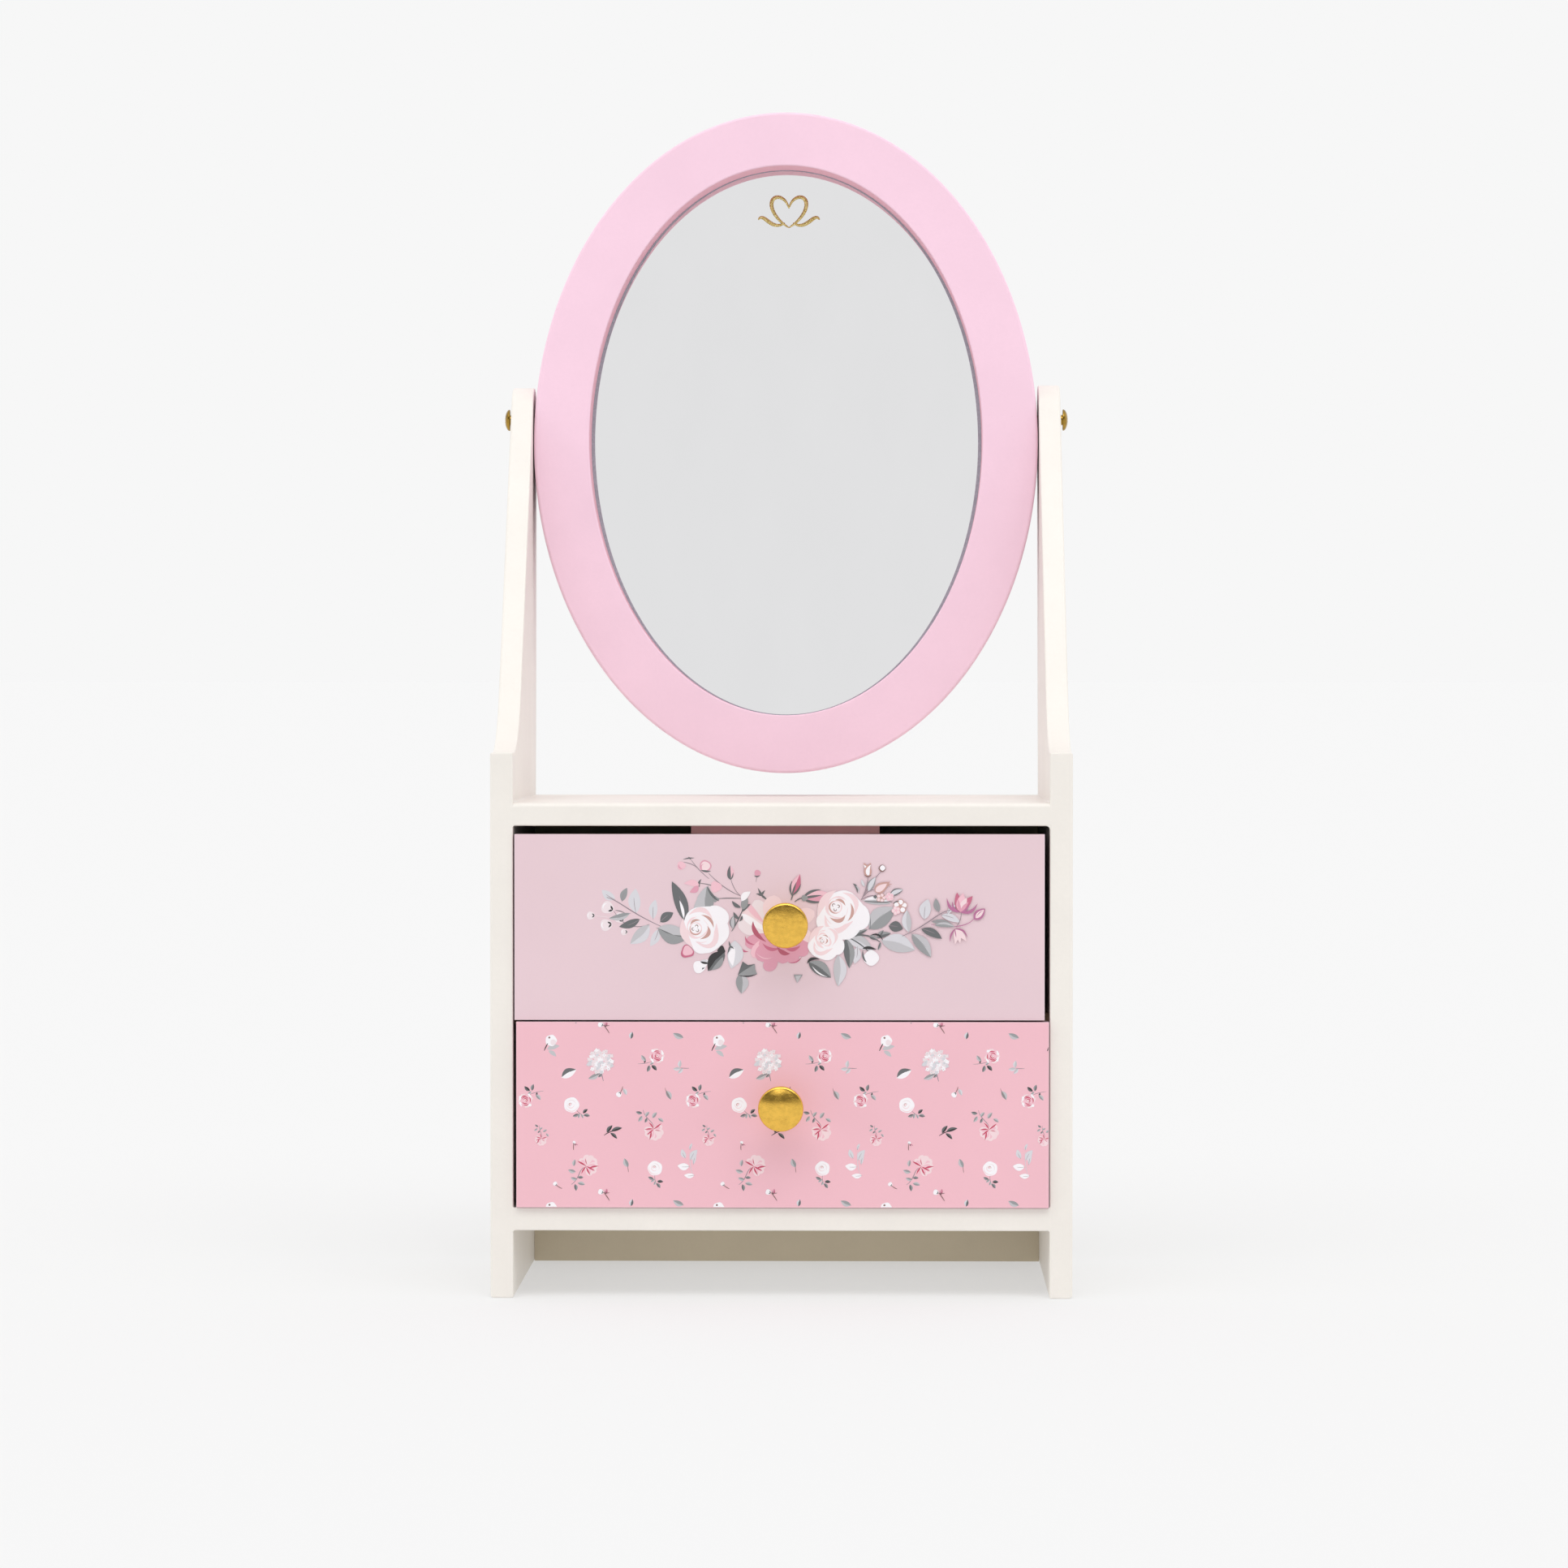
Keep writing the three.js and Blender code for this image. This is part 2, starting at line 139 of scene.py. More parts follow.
class Surface:
    """A Principled material with short calls for the nodes that it is patterned with.

    base is the colour that cover starts from.
    """

    def __init__(self, name, base=None, **sockets):
        self.base = base
        self.material = bpy.data.materials.new(name)
        self.material.use_nodes = True
        self.tree = self.material.node_tree
        self.principled = self.tree.nodes["Principled BSDF"]
        for socket, value in sockets.items():
            self.principled.inputs[socket.replace("_", " ")].default_value = value
        self.place = self.node("ShaderNodeTexCoord").outputs["Object"]

    def node(self, kind, **inputs):
        node = self.tree.nodes.new(kind)
        for name, value in inputs.items():
            self.feed(node.inputs[name.replace("_", " ")], value)
        return node

    def feed(self, socket, value):
        if isinstance(value, bpy.types.NodeSocket):
            self.tree.links.new(value, socket)
        else:
            socket.default_value = value

    def set(self, socket, value):
        self.feed(self.principled.inputs[socket], value)

    def stretched(self, scale):
        """Object coordinates scaled by a different factor along each axis."""
        return self.node("ShaderNodeMapping", Vector=self.place, Scale=scale).outputs["Vector"]

    def noise(self, size, detail=3.0, roughness=0.55, place=None):
        """Cloudy noise whose features are about size millimetres across."""
        node = self.node(
            "ShaderNodeTexNoise",
            Vector=place or self.place,
            Scale=1 / (size * MM),
            Detail=detail,
            Roughness=roughness,
        )
        return node.outputs["Fac"]

    def spots(self, size, low, high, place=None):
        """1 at the middles of scattered cells about size millimetres apart, 0 elsewhere."""
        cells = self.node(
            "ShaderNodeTexVoronoi", Vector=place or self.place, Scale=1 / (size * MM)
        )
        return self.span(cells.outputs["Distance"], high, low)

    def span(self, value, low, high, to_low=0.0, to_high=1.0):
        """Maps value from low..high to to_low..to_high, clamped."""
        node = self.node("ShaderNodeMapRange", Value=value)
        node.inputs["From Min"].default_value = low
        node.inputs["From Max"].default_value = high
        node.inputs["To Min"].default_value = to_low
        node.inputs["To Max"].default_value = to_high
        return node.outputs["Result"]

    def math(self, operation, first, second):
        node = self.tree.nodes.new("ShaderNodeMath")
        node.operation = operation
        self.feed(node.inputs[0], first)
        self.feed(node.inputs[1], second)
        return node.outputs[0]

    def product(self, first, second):
        return self.math("MULTIPLY", first, second)

    def mix(self, factor, first, second):
        node = self.tree.nodes.new("ShaderNodeMix")
        node.data_type = "RGBA"
        self.feed(node.inputs[0], factor)
        self.feed(node.inputs[6], first)
        self.feed(node.inputs[7], second)
        return node.outputs[2]

    def cover(self, mask, colour):
        """Lays a colour over the base colour, as far as mask goes from 0 to 1."""
        self.base = self.mix(mask, self.base, colour)
        self.set("Base Color", self.base)

    def edges(self, radius):
        """Near 1 on sharp outer and inner edges within radius millimetres, 0 on flat faces."""
        rounded = self.node("ShaderNodeBevel", Radius=radius * MM)
        rounded.samples = 4
        flat = self.node("ShaderNodeNewGeometry").outputs["Normal"]
        dot = self.tree.nodes.new("ShaderNodeVectorMath")
        dot.operation = "DOT_PRODUCT"
        self.feed(dot.inputs[0], rounded.outputs["Normal"])
        self.feed(dot.inputs[1], flat)
        return self.span(dot.outputs["Value"], 0.995, 0.8)

    def bump(self, height, depth):
        """Raises the surface by up to depth millimetres where height is 1."""
        node = self.node("ShaderNodeBump", Height=height, Strength=1.0, Distance=depth * MM)
        previous = self.principled.inputs["Normal"]
        if previous.is_linked:
            self.tree.links.new(previous.links[0].from_socket, node.inputs["Normal"])
        self.tree.links.new(node.outputs["Normal"], previous)


# ---- Materials ----


def paint(name, colour):
    """Sprayed satin paint on MDF: orange peel, a little mottling, pinholes and rubbed edges."""
    surface = Surface(name, shade(colour, 0.975), Roughness=0.42)
    mottle = surface.noise(22, detail=4)
    surface.cover(surface.span(mottle, 0.35, 0.65), shade(colour, 1.015))
    grain = surface.noise(0.9, detail=5, roughness=0.65)
    surface.cover(surface.span(grain, 0.3, 0.75, 0.0, 0.35), shade(colour, 0.94))
    rubbed = surface.product(surface.edges(0.7), surface.span(surface.noise(3.0), 0.42, 0.62))
    surface.cover(surface.product(rubbed, 0.45), shade(colour, 1.06))
    specks = surface.spots(5.5, 0.02, 0.035)
    specks = surface.product(specks, surface.span(surface.noise(9.0), 0.6, 0.66))
    surface.cover(surface.product(specks, 0.5), shade(colour, 0.45))
    surface.set("Roughness", surface.span(grain, 0.3, 0.7, 0.37, 0.51))
    surface.bump(surface.noise(1.6, detail=2), 0.03)
    surface.bump(grain, 0.012)
    return surface.material


def raw_board(name, colour):
    """Bare fibreboard: fine fibres and darker flecks."""
    surface = Surface(name, shade(colour, 0.72), Roughness=0.85)
    fibres = surface.noise(0.5, detail=6, roughness=0.75, place=surface.stretched((0.35, 0.35, 1)))
    patches = surface.noise(12, detail=3)
    surface.cover(surface.span(fibres, 0.3, 0.7), shade(colour, 1.15))
    surface.cover(surface.span(patches, 0.35, 0.7, 0.0, 0.3), shade(colour, 0.8))
    surface.set("Roughness", surface.span(fibres, 0.3, 0.7, 0.78, 0.95))
    surface.bump(fibres, 0.05)
    return surface.material


def printed_paper(name, colour):
    """Smooth lacquered printing paper with a faint fibre and a slightly uneven lacquer."""
    surface = Surface(name, shade(colour, 0.985), Roughness=0.38)
    fibres = surface.noise(0.35, detail=4, roughness=0.6, place=surface.stretched((0.4, 1, 1)))
    cloud = surface.noise(35, detail=2)
    surface.cover(surface.span(cloud, 0.3, 0.7), shade(colour, 1.012))
    surface.cover(surface.span(fibres, 0.3, 0.7, 0.0, 0.3), shade(colour, 0.955))
    surface.cover(surface.product(surface.edges(0.35), 0.5), srgb(250, 240, 242))
    surface.set("Roughness", surface.span(surface.noise(4.0), 0.3, 0.7, 0.33, 0.46))
    surface.bump(surface.noise(2.4, detail=2), 0.012)
    surface.bump(fibres, 0.006)
    return surface.material


def flock(name, colour):
    """Short velvet pile that shades where it has been stroked."""
    surface = Surface(
        name, shade(colour, 0.84), Roughness=0.95, Sheen_Weight=0.6, Sheen_Roughness=0.45
    )
    surface.principled.inputs["Sheen Tint"].default_value = shade(colour, 1.2)
    stroked = surface.noise(9, detail=2)
    pile = surface.noise(0.25, detail=4, roughness=0.8)
    surface.cover(surface.span(stroked, 0.4, 0.6), shade(colour, 1.05))
    surface.cover(surface.span(pile, 0.35, 0.65, 0.0, 0.5), shade(colour, 0.68))
    surface.bump(pile, 0.12)
    return surface.material


def polished_metal(name, colour, roughness, tarnish, smudge=0.0):
    """Polished metal with fine swirls, dull patches, and the smudges that fingers leave."""
    surface = Surface(name, colour, Metallic=1.0)
    patches = surface.noise(2.2, detail=4, roughness=0.6)
    wiped = surface.noise(1.1, detail=5, roughness=0.65, place=surface.stretched((0.6, 1, 1.2)))
    swirls = surface.noise(0.12, detail=3, place=surface.stretched((1, 1, 5)))
    surface.cover(surface.span(patches, 0.4, 0.7, 0.0, tarnish), shade(colour, 0.55))
    surface.cover(surface.span(wiped, 0.5, 0.72, 0.0, smudge), shade(colour, 0.5))
    rough = surface.span(patches, 0.35, 0.7, roughness, roughness + 0.12)
    streaks = surface.span(wiped, 0.35, 0.7, 0.0, 0.14 if smudge else 0.04)
    rough = surface.math("ADD", rough, streaks)
    surface.set("Roughness", surface.math("ADD", rough, surface.span(swirls, 0.4, 0.7, 0.0, 0.05)))
    surface.bump(swirls, 0.004)
    surface.bump(patches, 0.035)
    surface.bump(wiped, 0.02 if smudge else 0.008)
    return surface.material


def silvered_glass(name):
    """Mirror glass with a faint haze that wiping leaves."""
    silver = srgb(233, 233, 234)
    surface = Surface(name, shade(silver, 0.985), Metallic=1.0)
    haze = surface.noise(18, detail=3, place=surface.stretched((1, 1, 0.5)))
    surface.cover(surface.span(haze, 0.3, 0.7), silver)
    surface.set("Roughness", surface.span(haze, 0.4, 0.75, 0.015, 0.045))
    return surface.material


def painted_reflection_band(name):
    """A grey band round the mirror glass: painted reflection of the shaded recess wall."""
    grey = srgb(172, 180, 190)
    surface = Surface(name, shade(grey, 0.8), Roughness=0.5, Specular_IOR_Level=0.6)
    band_mottle = surface.noise(0.6, detail=4)
    surface.cover(surface.span(band_mottle, 0.35, 0.65), grey)
    surface.bump(band_mottle, 0.03)
    return surface.material


def glitter(name):
    """Gold flakes, each tipped its own way, in a clear varnish."""
    surface = Surface(name, srgb(176, 146, 62), Metallic=0.85, Roughness=0.28)
    flakes = surface.node("ShaderNodeTexVoronoi", Vector=surface.place, Scale=1 / (0.22 * MM))
    lightness = surface.node("ShaderNodeSeparateColor", Color=flakes.outputs["Color"]).outputs[0]
    surface.cover(lightness, srgb(250, 236, 170))
    surface.set("Roughness", surface.span(lightness, 0.0, 1.0, 0.2, 0.5))
    surface.bump(lightness, 0.06)
    return surface.material


def plastic(name, colour):
    surface = Surface(name, shade(colour, 0.94), Roughness=0.4, Transmission_Weight=0.8)
    surface.cover(surface.noise(1.5, detail=3), colour)
    surface.bump(surface.noise(0.3), 0.01)
    return surface.material


def ink(name, colour):
    """One flat printing ink under the paper's lacquer."""
    return Surface(f"ink_{name}", Base_Color=colour, Roughness=0.38).material


CREAM = srgb(241, 236, 229)
PINK = srgb(250, 212, 230)
PALE_PINK = srgb(230, 203, 210)
ROSE = srgb(241, 189, 200)
# Cream darkened and warmed for the back panel: painted shade of the space under the cabinet.
SHADE_DARKENED_CREAM = srgb(205, 193, 169)
BRASS = (0.90, 0.55, 0.10, 1.0)

MATERIALS = {
    "cream": paint("cream_paint", CREAM),
    # painted shade: darkened cream for the back panel
    "shade_darkened_back": paint("shade_darkened_back_paint", SHADE_DARKENED_CREAM),
    "pink": paint("pink_paint", PINK),
    # A deeper copy of the pink paint for the frame's inner wall: painted shade of the narrow recess.
    "recess": paint("recess_wall_painted_shade", srgb(246, 180, 198)),
    "drawer": paint("drawer_paint", PALE_PINK),
    "rose_paint": paint("rose_paint", srgb(244, 182, 182)),
    "board": raw_board("raw_board", srgb(178, 146, 118)),
    "hardboard": raw_board("hardboard", srgb(126, 98, 74)),
    "pale_paper": printed_paper("pale_paper", PALE_PINK),
    "rose_paper": printed_paper("rose_paper", ROSE),
    "flock": flock("flock", srgb(228, 176, 190)),
    "brass": polished_metal("polished_brass", BRASS, 0.08, 0.34, smudge=0.3),
    # Halved brass colour and heavy dark patches on the pivot screws: painted dark reflections.
    "screw_brass_dark_reflection": polished_metal("screw_brass_dark_reflection", shade(BRASS, 0.5), 0.08, 0.95, smudge=0.5),
    "zinc": polished_metal("zinc", (0.62, 0.62, 0.64, 1.0), 0.3, 0.3),
    "mirror": silvered_glass("mirror_glass"),
    # painted reflection: a grey band on the glass for the shaded recess wall
    "ground": painted_reflection_band("shaded_wall_reflection"),
    "glitter": glitter("gold_glitter"),
    "nylon": plastic("nylon", srgb(242, 240, 234)),
}

# ---- Mesh helpers ----


def piece(name, mesh, body, slot, *replaced):
    """Links a mesh as an object that rides on a body and stands for CAD nodes."""
    thing = bpy.data.objects.new(name, mesh)
    bpy.context.collection.objects.link(thing)
    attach(thing, body)
    if replaced:
        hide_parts(*replaced)
    return thing


def mesh_from(name, points, faces, materials, indices=None, smooth=True):
    """A mesh from points in millimetres."""
    mesh = bpy.data.meshes.new(name)
    mesh.from_pydata([Vector(point) * MM for point in points], [], faces)
    for material in materials:
        mesh.materials.append(material)
    if indices:
        mesh.polygons.foreach_set("material_index", indices)
    mesh.polygons.foreach_set("use_smooth", [smooth] * len(mesh.polygons))
    mesh.validate()
    return mesh


def shade_flat_faces(thing):
    """Keeps the flat faces flat in the shading beside rounded edges."""
    weighted = thing.modifiers.new("flat_faces", "WEIGHTED_NORMAL")
    weighted.keep_sharp = False


def soften(thing, width):
    """Rounds the sharp edges."""
    bevel = thing.modifiers.new("soften", "BEVEL")
    bevel.width = width * MM
    bevel.segments = 3
    bevel.limit_method = "ANGLE"
    bevel.angle_limit = math.radians(35)
    bevel.miter_outer = "MITER_ARC"
    shade_flat_faces(thing)
    thing.data.polygons.foreach_set("use_smooth", [True] * len(thing.data.polygons))


def dress(node, material, bevel=0.0):
    """Gives a CAD node its material, and rounded edges."""
    thing = frame["nodes"][node]
    thing.data.materials.clear()
    thing.data.materials.append(MATERIALS[material])
    if bevel:
        soften(thing, bevel)


def lathe(profile, segments=96):
    """Turns [radius, height] points about the z axis into points and faces."""
    points, faces, rings = [], [], []
    for radius, height in profile:
        if radius < 1e-6:
            rings.append([len(points)])
            points.append((0.0, 0.0, height))
            continue
        rings.append(range(len(points), len(points) + segments))
        for step in range(segments):
            angle = 2 * math.pi * step / segments
            points.append((radius * math.cos(angle), radius * math.sin(angle), height))
    for lower, upper in zip(rings, rings[1:]):
        for step in range(segments):
            after = (step + 1) % segments
            if len(lower) == 1:
                faces.append((lower[0], upper[after], upper[step]))
            elif len(upper) == 1:
                faces.append((lower[step], lower[after], upper[0]))
            else:
                faces.append((lower[step], lower[after], upper[after], upper[step]))
    return points, faces


def prism_faces(count):
    """Faces between an outline's points and the same outline's points further along."""
    ends = [tuple(reversed(range(count))), tuple(range(count, 2 * count))]
    return ends + [(i, (i + 1) % count, count + (i + 1) % count, count + i) for i in range(count)]


def placed(points, matrix):
    return [matrix @ Vector(point) for point in points]


def arc(centre, radius, start, end, steps):
    """Points on an arc, with angles in degrees."""
    angles = [math.radians(start + (end - start) * i / steps) for i in range(steps + 1)]
    return [(centre[0] + radius * math.cos(a), centre[1] + radius * math.sin(a)) for a in angles]


# ---- Cabinet ----


def side_outline():
    """The side panel's outline as (depth, height) points, anticlockwise from the front foot."""
    pivot = (DEPTH - POST_RADIUS, PIVOT.z)
    tangent = 180 - math.degrees(POST_SLOPE)
    top = arc(pivot, POST_RADIUS, 0, tangent, 28)
    meet = top[-1]

    def slope_depth(height):
        return meet[0] - (meet[1] - height) * math.tan(POST_SLOPE)

    start = Vector((slope_depth(SWEEP_TOP), SWEEP_TOP))
    bend = Vector((slope_depth(SHOULDER_HEIGHT), SHOULDER_HEIGHT))
    end = Vector((SHOULDER_LEDGE, SHOULDER_HEIGHT))
    steps = 24
    sweep = []
    for i in range(steps + 1):
        t = i / steps
        sweep.append(tuple(start * (1 - t) ** 2 + bend * 2 * t * (1 - t) + end * t * t))
    return [(0, 0), (DEPTH, 0), (DEPTH, PIVOT.z), *top[1:], *sweep, (0, SHOULDER_HEIGHT)]


def round_edges(thing, radius_of):
    """Rounds each edge by its own radius. radius_of takes an edge's two ends in millimetres."""
    mesh = thing.data
    radii = []
    for edge in mesh.edges:
        ends = [mesh.vertices[i].co / MM for i in edge.vertices]
        radii.append(radius_of(*ends))
    largest = max(radii)
    weights = mesh.attributes.new("bevel_weight_edge", "FLOAT", "EDGE")
    weights.data.foreach_set("value", [radius / largest for radius in radii])
    bevel = thing.modifiers.new("soften", "BEVEL")
    bevel.width = largest * MM
    bevel.segments = 4
    bevel.limit_method = "WEIGHT"
    bevel.harden_normals = True


def make_side_panel(label):
    node = f"side_panel_{label}"
    low, high = corners(node)
    outer = max(low.x, high.x, key=abs)
    outline = side_outline()
    points = [(x, FRONT + depth, height) for x in (low.x, high.x) for depth, height in outline]
    mesh = mesh_from(node, points, prism_faces(len(outline)), [MATERIALS["cream"]])
    panel = piece(f"{node}_board", mesh, "cabinet", "cream_paint", node)

    def radius_of(start, end):
        if abs(start.x - end.x) > 1:  # across the board's thickness
            return PANEL_EDGE if start.z < 1 or abs(start.z - SHOULDER_HEIGHT) < 0.1 else 0.0
        if abs(start.x - outer) > 0.1:
            return PANEL_EDGE
        return FOOT_EDGE if max(start.z, end.z) < 1 else OUTER_EDGE

    round_edges(panel, radius_of)
    lean_post(panel.data, label, high.z)


def lean_post(mesh, label, top):
    """Leans the post in above the shoulder, as the tightened pivot screws do."""
    for vertex in mesh.vertices:
        height = vertex.co.z / MM
        rise = max(0.0, (height - SHOULDER_HEIGHT) / (top - SHOULDER_HEIGHT))
        vertex.co.x -= SIDES[label] * POST_LEAN * rise * MM
        vertex.co.z -= POST_SAG[label] * rise * MM


def make_board(node, upper_edge=PANEL_EDGE):
    """A board glued between the side panels: its ends run on under the panels' rounded edges,
    so that the paint looks unbroken."""
    low, high = corners(node)
    reach = high.x + PANEL_EDGE + TUCK
    points = [(x, y, z) for x in (-reach, reach) for y in (low.y, high.y) for z in (low.z, high.z)]
    faces = [(0, 1, 3, 2), (4, 6, 7, 5), (0, 4, 5, 1), (2, 3, 7, 6), (0, 2, 6, 4), (1, 5, 7, 3)]
    mesh = mesh_from(node, points, faces, [MATERIALS["cream"]])
    for edge in mesh.edges:
        start, end = [mesh.vertices[i].co for i in edge.vertices]
        edge.use_edge_sharp = start.x == end.x  # keeps the hidden ends out of the shading
    board = piece(f"{node}_painted", mesh, "cabinet", "cream_paint", node)
    middle = (low + high) / 2

    def radius_of(start, end):
        if abs(start.x - end.x) < 1:
            return 0.0
        return upper_edge if start.y < middle.y and start.z > middle.z else PANEL_EDGE

    round_edges(board, radius_of)


def make_paint_bead(name, corner, toward, radius, depths):
    """Paint gathered in an inside corner that runs from front to back.

    corner is the (x, z) of the inside corner and toward the signs of x and z away from it.
    """
    overlap = 0.2  # how far the bead reaches into both boards
    curve = arc((radius, radius), radius, 180, 270, 6)
    outline = [
        (-overlap, -overlap), (curve[0][0] - overlap, curve[0][1]), *curve,
        (curve[-1][0], curve[-1][1] - overlap),
    ]
    section = [(corner[0] + toward[0] * x, corner[1] + toward[1] * z) for x, z in outline]
    count = len(section)
    points = [(x, y, z) for y in depths for x, z in section]
    faces = [tuple(range(count)), tuple(reversed(range(count, 2 * count)))]
    faces += [(i, count + i, count + (i + 1) % count, (i + 1) % count) for i in range(count)]
    mesh = mesh_from(name, points, faces, [MATERIALS["cream"]])
    mesh.set_sharp_from_angle(angle=math.radians(40))
    if toward[0] * toward[1] < 0:
        mesh.flip_normals()
    piece(name, mesh, "cabinet", "cream_paint")


def make_cabinet():
    for label in SIDES:
        make_side_panel(label)
    make_board("top_board", TOP_EDGE)
    make_board("bottom_board")
    # The back panel gets darkened cream, painted shade for the space under the cabinet.
    dress("back_panel", "shade_darkened_back", 0.2)
    dress("drawer_divider", "board", 0.2)
    dress("drawer_kicker", "rose_paint", 0.4)

    top_low, top_high = corners("top_board")
    bottom_low, bottom_high = corners("bottom_board")
    inside = panel_low.x
    rear = top_high.y - 0.5
    behind_fronts = (FRONT + 0.02, FRONT + 7)
    for label, side in SIDES.items():
        for name, height, up, radius, depths in (
            ("shelf", top_high.z, 1, 0.6, (FRONT + TOP_EDGE, rear)),
            ("opening", top_low.z, -1, 1.0 if side > 0 else 0.35, behind_fronts),
            ("sill", bottom_high.z, 1, 0.3, behind_fronts),
            ("foot", bottom_low.z, -1, 0.35, (FRONT + 0.02, rear)),
        ):
            corner = (side * inside, height)
            make_paint_bead(f"{name}_bead_{label}", corner, (-side, up), radius, depths)


# ---- Mirror ----

# Mirror pieces are drawn upright round the pivot line, then leaned back and moved to it.
TO_MIRROR = Matrix.Translation(PIVOT) @ Matrix.Rotation(-MIRROR_LEAN, 4, "X")


def oval_point(inset, depth, angle):
    """A point on the oval frame: the inset from its outer edge also moves the oval's centre."""
    rise = OPENING_RISE * min(1.0, max(0.0, inset) / RIM)
    x = (OVAL[0] - inset) * math.cos(angle)
    z = (OVAL[1] - inset) * math.sin(angle) - OVAL_DROP + rise
    return x, depth, z


def oval_rings(section):
    """Sweeps (inset, depth) points round the oval, one ring of points for each of them."""
    angles = [2 * math.pi * step / OVAL_STEPS for step in range(OVAL_STEPS)]
    points = [oval_point(inset, depth, angle) for inset, depth in section for angle in angles]
    faces = []
    for ring in range(len(section) - 1):
        here, after = ring * OVAL_STEPS, (ring + 1) * OVAL_STEPS
        for step in range(OVAL_STEPS):
            j = (step + 1) % OVAL_STEPS
            faces.append((here + step, here + j, after + j, after + step))
    return points, faces


def make_mirror_frame():
    half = FRAME_THICKNESS / 2
    outer, inner, rear = 0.9, 0.45, 0.9  # edge radii
    rebate = RIM - 2.5  # the ledge that the glass lies on
    seat = RECESS - half
    section = [
        *arc((outer, -half + outer), outer, 180, 270, 8),
        *arc((RIM - inner, -half + inner), inner, 270, 360, 5),
        (RIM, seat - 0.15),
        (RIM - 0.15, seat),
        (rebate, seat),
        *arc((rebate - 0.3, half - 0.3), 0.3, 0, 90, 3),
        *arc((rear, half - rear), rear, 90, 180, 6),
    ]
    wall = section.index((RIM, seat - 0.15)) - 1
    section.append(section[0])
    points, faces = oval_rings(section)
    last = (len(section) - 1) * OVAL_STEPS
    faces = [tuple(i % last for i in face) for face in faces]
    indices = [int(i // OVAL_STEPS == wall) for i in range(len(faces))]
    points = placed(points[:last], TO_MIRROR)
    # The recess wall takes the deeper copy of the pink paint: painted shade.
    materials = [MATERIALS["pink"], MATERIALS["recess"]]
    mesh = mesh_from("mirror_frame", points, faces, materials, indices)
    shade_flat_faces(piece("mirror_oval_frame", mesh, "mirror", "pink_paint", "mirror_frame"))


def make_mirror_glass():
    """A silvered pane with a grey border band: painted reflection of the shaded recess wall."""
    front = RECESS - FRAME_THICKNESS / 2 + TUCK
    edge = RIM - 2.2
    arris = 0.3  # ground off the pane's front edge
    section = [(edge, front + GLASS), (edge, front + arris), (edge + arris, front), (RIM, front)]
    points, faces = oval_rings(section)
    # The last ring moves in by the grey band of painted reflection, which is wider at the sides.
    last_ring = range(3 * OVAL_STEPS, 4 * OVAL_STEPS)
    for i in last_ring:
        x, y, z = points[i]
        middle = OPENING_RISE - OVAL_DROP
        x *= 1 - SHADED_WALL_REFLECTION_BAND[0] / (OVAL[0] - RIM)
        z = middle + (z - middle) * (1 - SHADED_WALL_REFLECTION_BAND[1] / (OVAL[1] - RIM))
        points[i] = (x, y, z)
    faces += [tuple(reversed(range(OVAL_STEPS))), tuple(last_ring)]
    indices = [1] * (len(faces) - 1) + [0]
    # The border ring gets the grey band of painted reflection.
    materials = [MATERIALS["mirror"], MATERIALS["ground"]]
    points = placed(points, TO_MIRROR)
    mesh = mesh_from("mirror_pane", points, faces, materials, indices, smooth=False)
    piece("mirror_pane", mesh, "mirror", "mirror_glass", "mirror_glass")


def glitter_stroke(path, width, height):
    """A puffy line along path, a function of 0..1 giving (x, z), tapering to its ends."""
    points, faces = [], []
    segments, across = 40, 8
    for i in range(segments + 1):
        t = i / segments
        here = Vector(path(t))
        ahead = Vector(path(min(1.0, t + 0.01))) - Vector(path(max(0.0, t - 0.01)))
        side = Vector((-ahead.y, ahead.x)).normalized()
        swell = 0.25 + 0.75 * math.sin(math.pi * t) ** 0.6
        for j in range(across + 1):
            angle = math.pi * j / across
            place = here + side * (width / 2 * swell * math.cos(angle))
            points.append((place.x, -height * swell * math.sin(angle), place.y))
    row = across + 1
    for i in range(segments):
        for j in range(across):
            faces.append((i * row + j, (i + 1) * row + j, (i + 1) * row + j + 1, i * row + j + 1))
        faces.append((i * row, i * row + across, (i + 1) * row + across, (i + 1) * row))
    faces.append(tuple(range(row)))
    faces.append(tuple(reversed(range(segments * row, (segments + 1) * row))))
    return points, faces


def bezier(*points):
    """A Bezier curve through control points of any number, as a function of 0..1."""
    def at(t):
        level = [Vector(point) for point in points]
        while len(level) > 1:
            level = [a.lerp(b, t) for a, b in zip(level, level[1:])]
        return level[0]
    return at


def make_motif():
    """A gold glitter heart drawn with one looping line, and a curl on each side."""
    low, high = corners("glitter_motif")
    glass_front = RECESS - FRAME_THICKNESS / 2
    strokes = []
    half_heart = ((0, -4.2), (5.6, -0.8), (8.4, 5.6), (1.4, 7.2), (0, 1.4))
    curl = ((1.2, -2.8), (5.2, -5.6), (7.4, 0.8), (8.9, -1.9))
    for side in SIDES.values():
        for stroke in (half_heart, curl):
            strokes.append(bezier(*[(side * x, z) for x, z in stroke]))
    middle = TO_MIRROR.inverted() @ ((low + high) / 2)
    seat = TO_MIRROR @ Matrix.Translation((middle.x, glass_front, middle.z))
    points, faces = [], []
    for path in strokes:
        more_points, more_faces = glitter_stroke(path, width=1.15, height=0.45)
        start = len(points)
        points += placed(more_points, seat)
        faces += [tuple(start + i for i in face) for face in more_faces]
    mesh = mesh_from("glitter_motif", points, faces, [MATERIALS["glitter"]])
    piece("glitter_heart", mesh, "mirror", "gold_glitter", "glitter_motif")


# ---- Screws and knobs ----


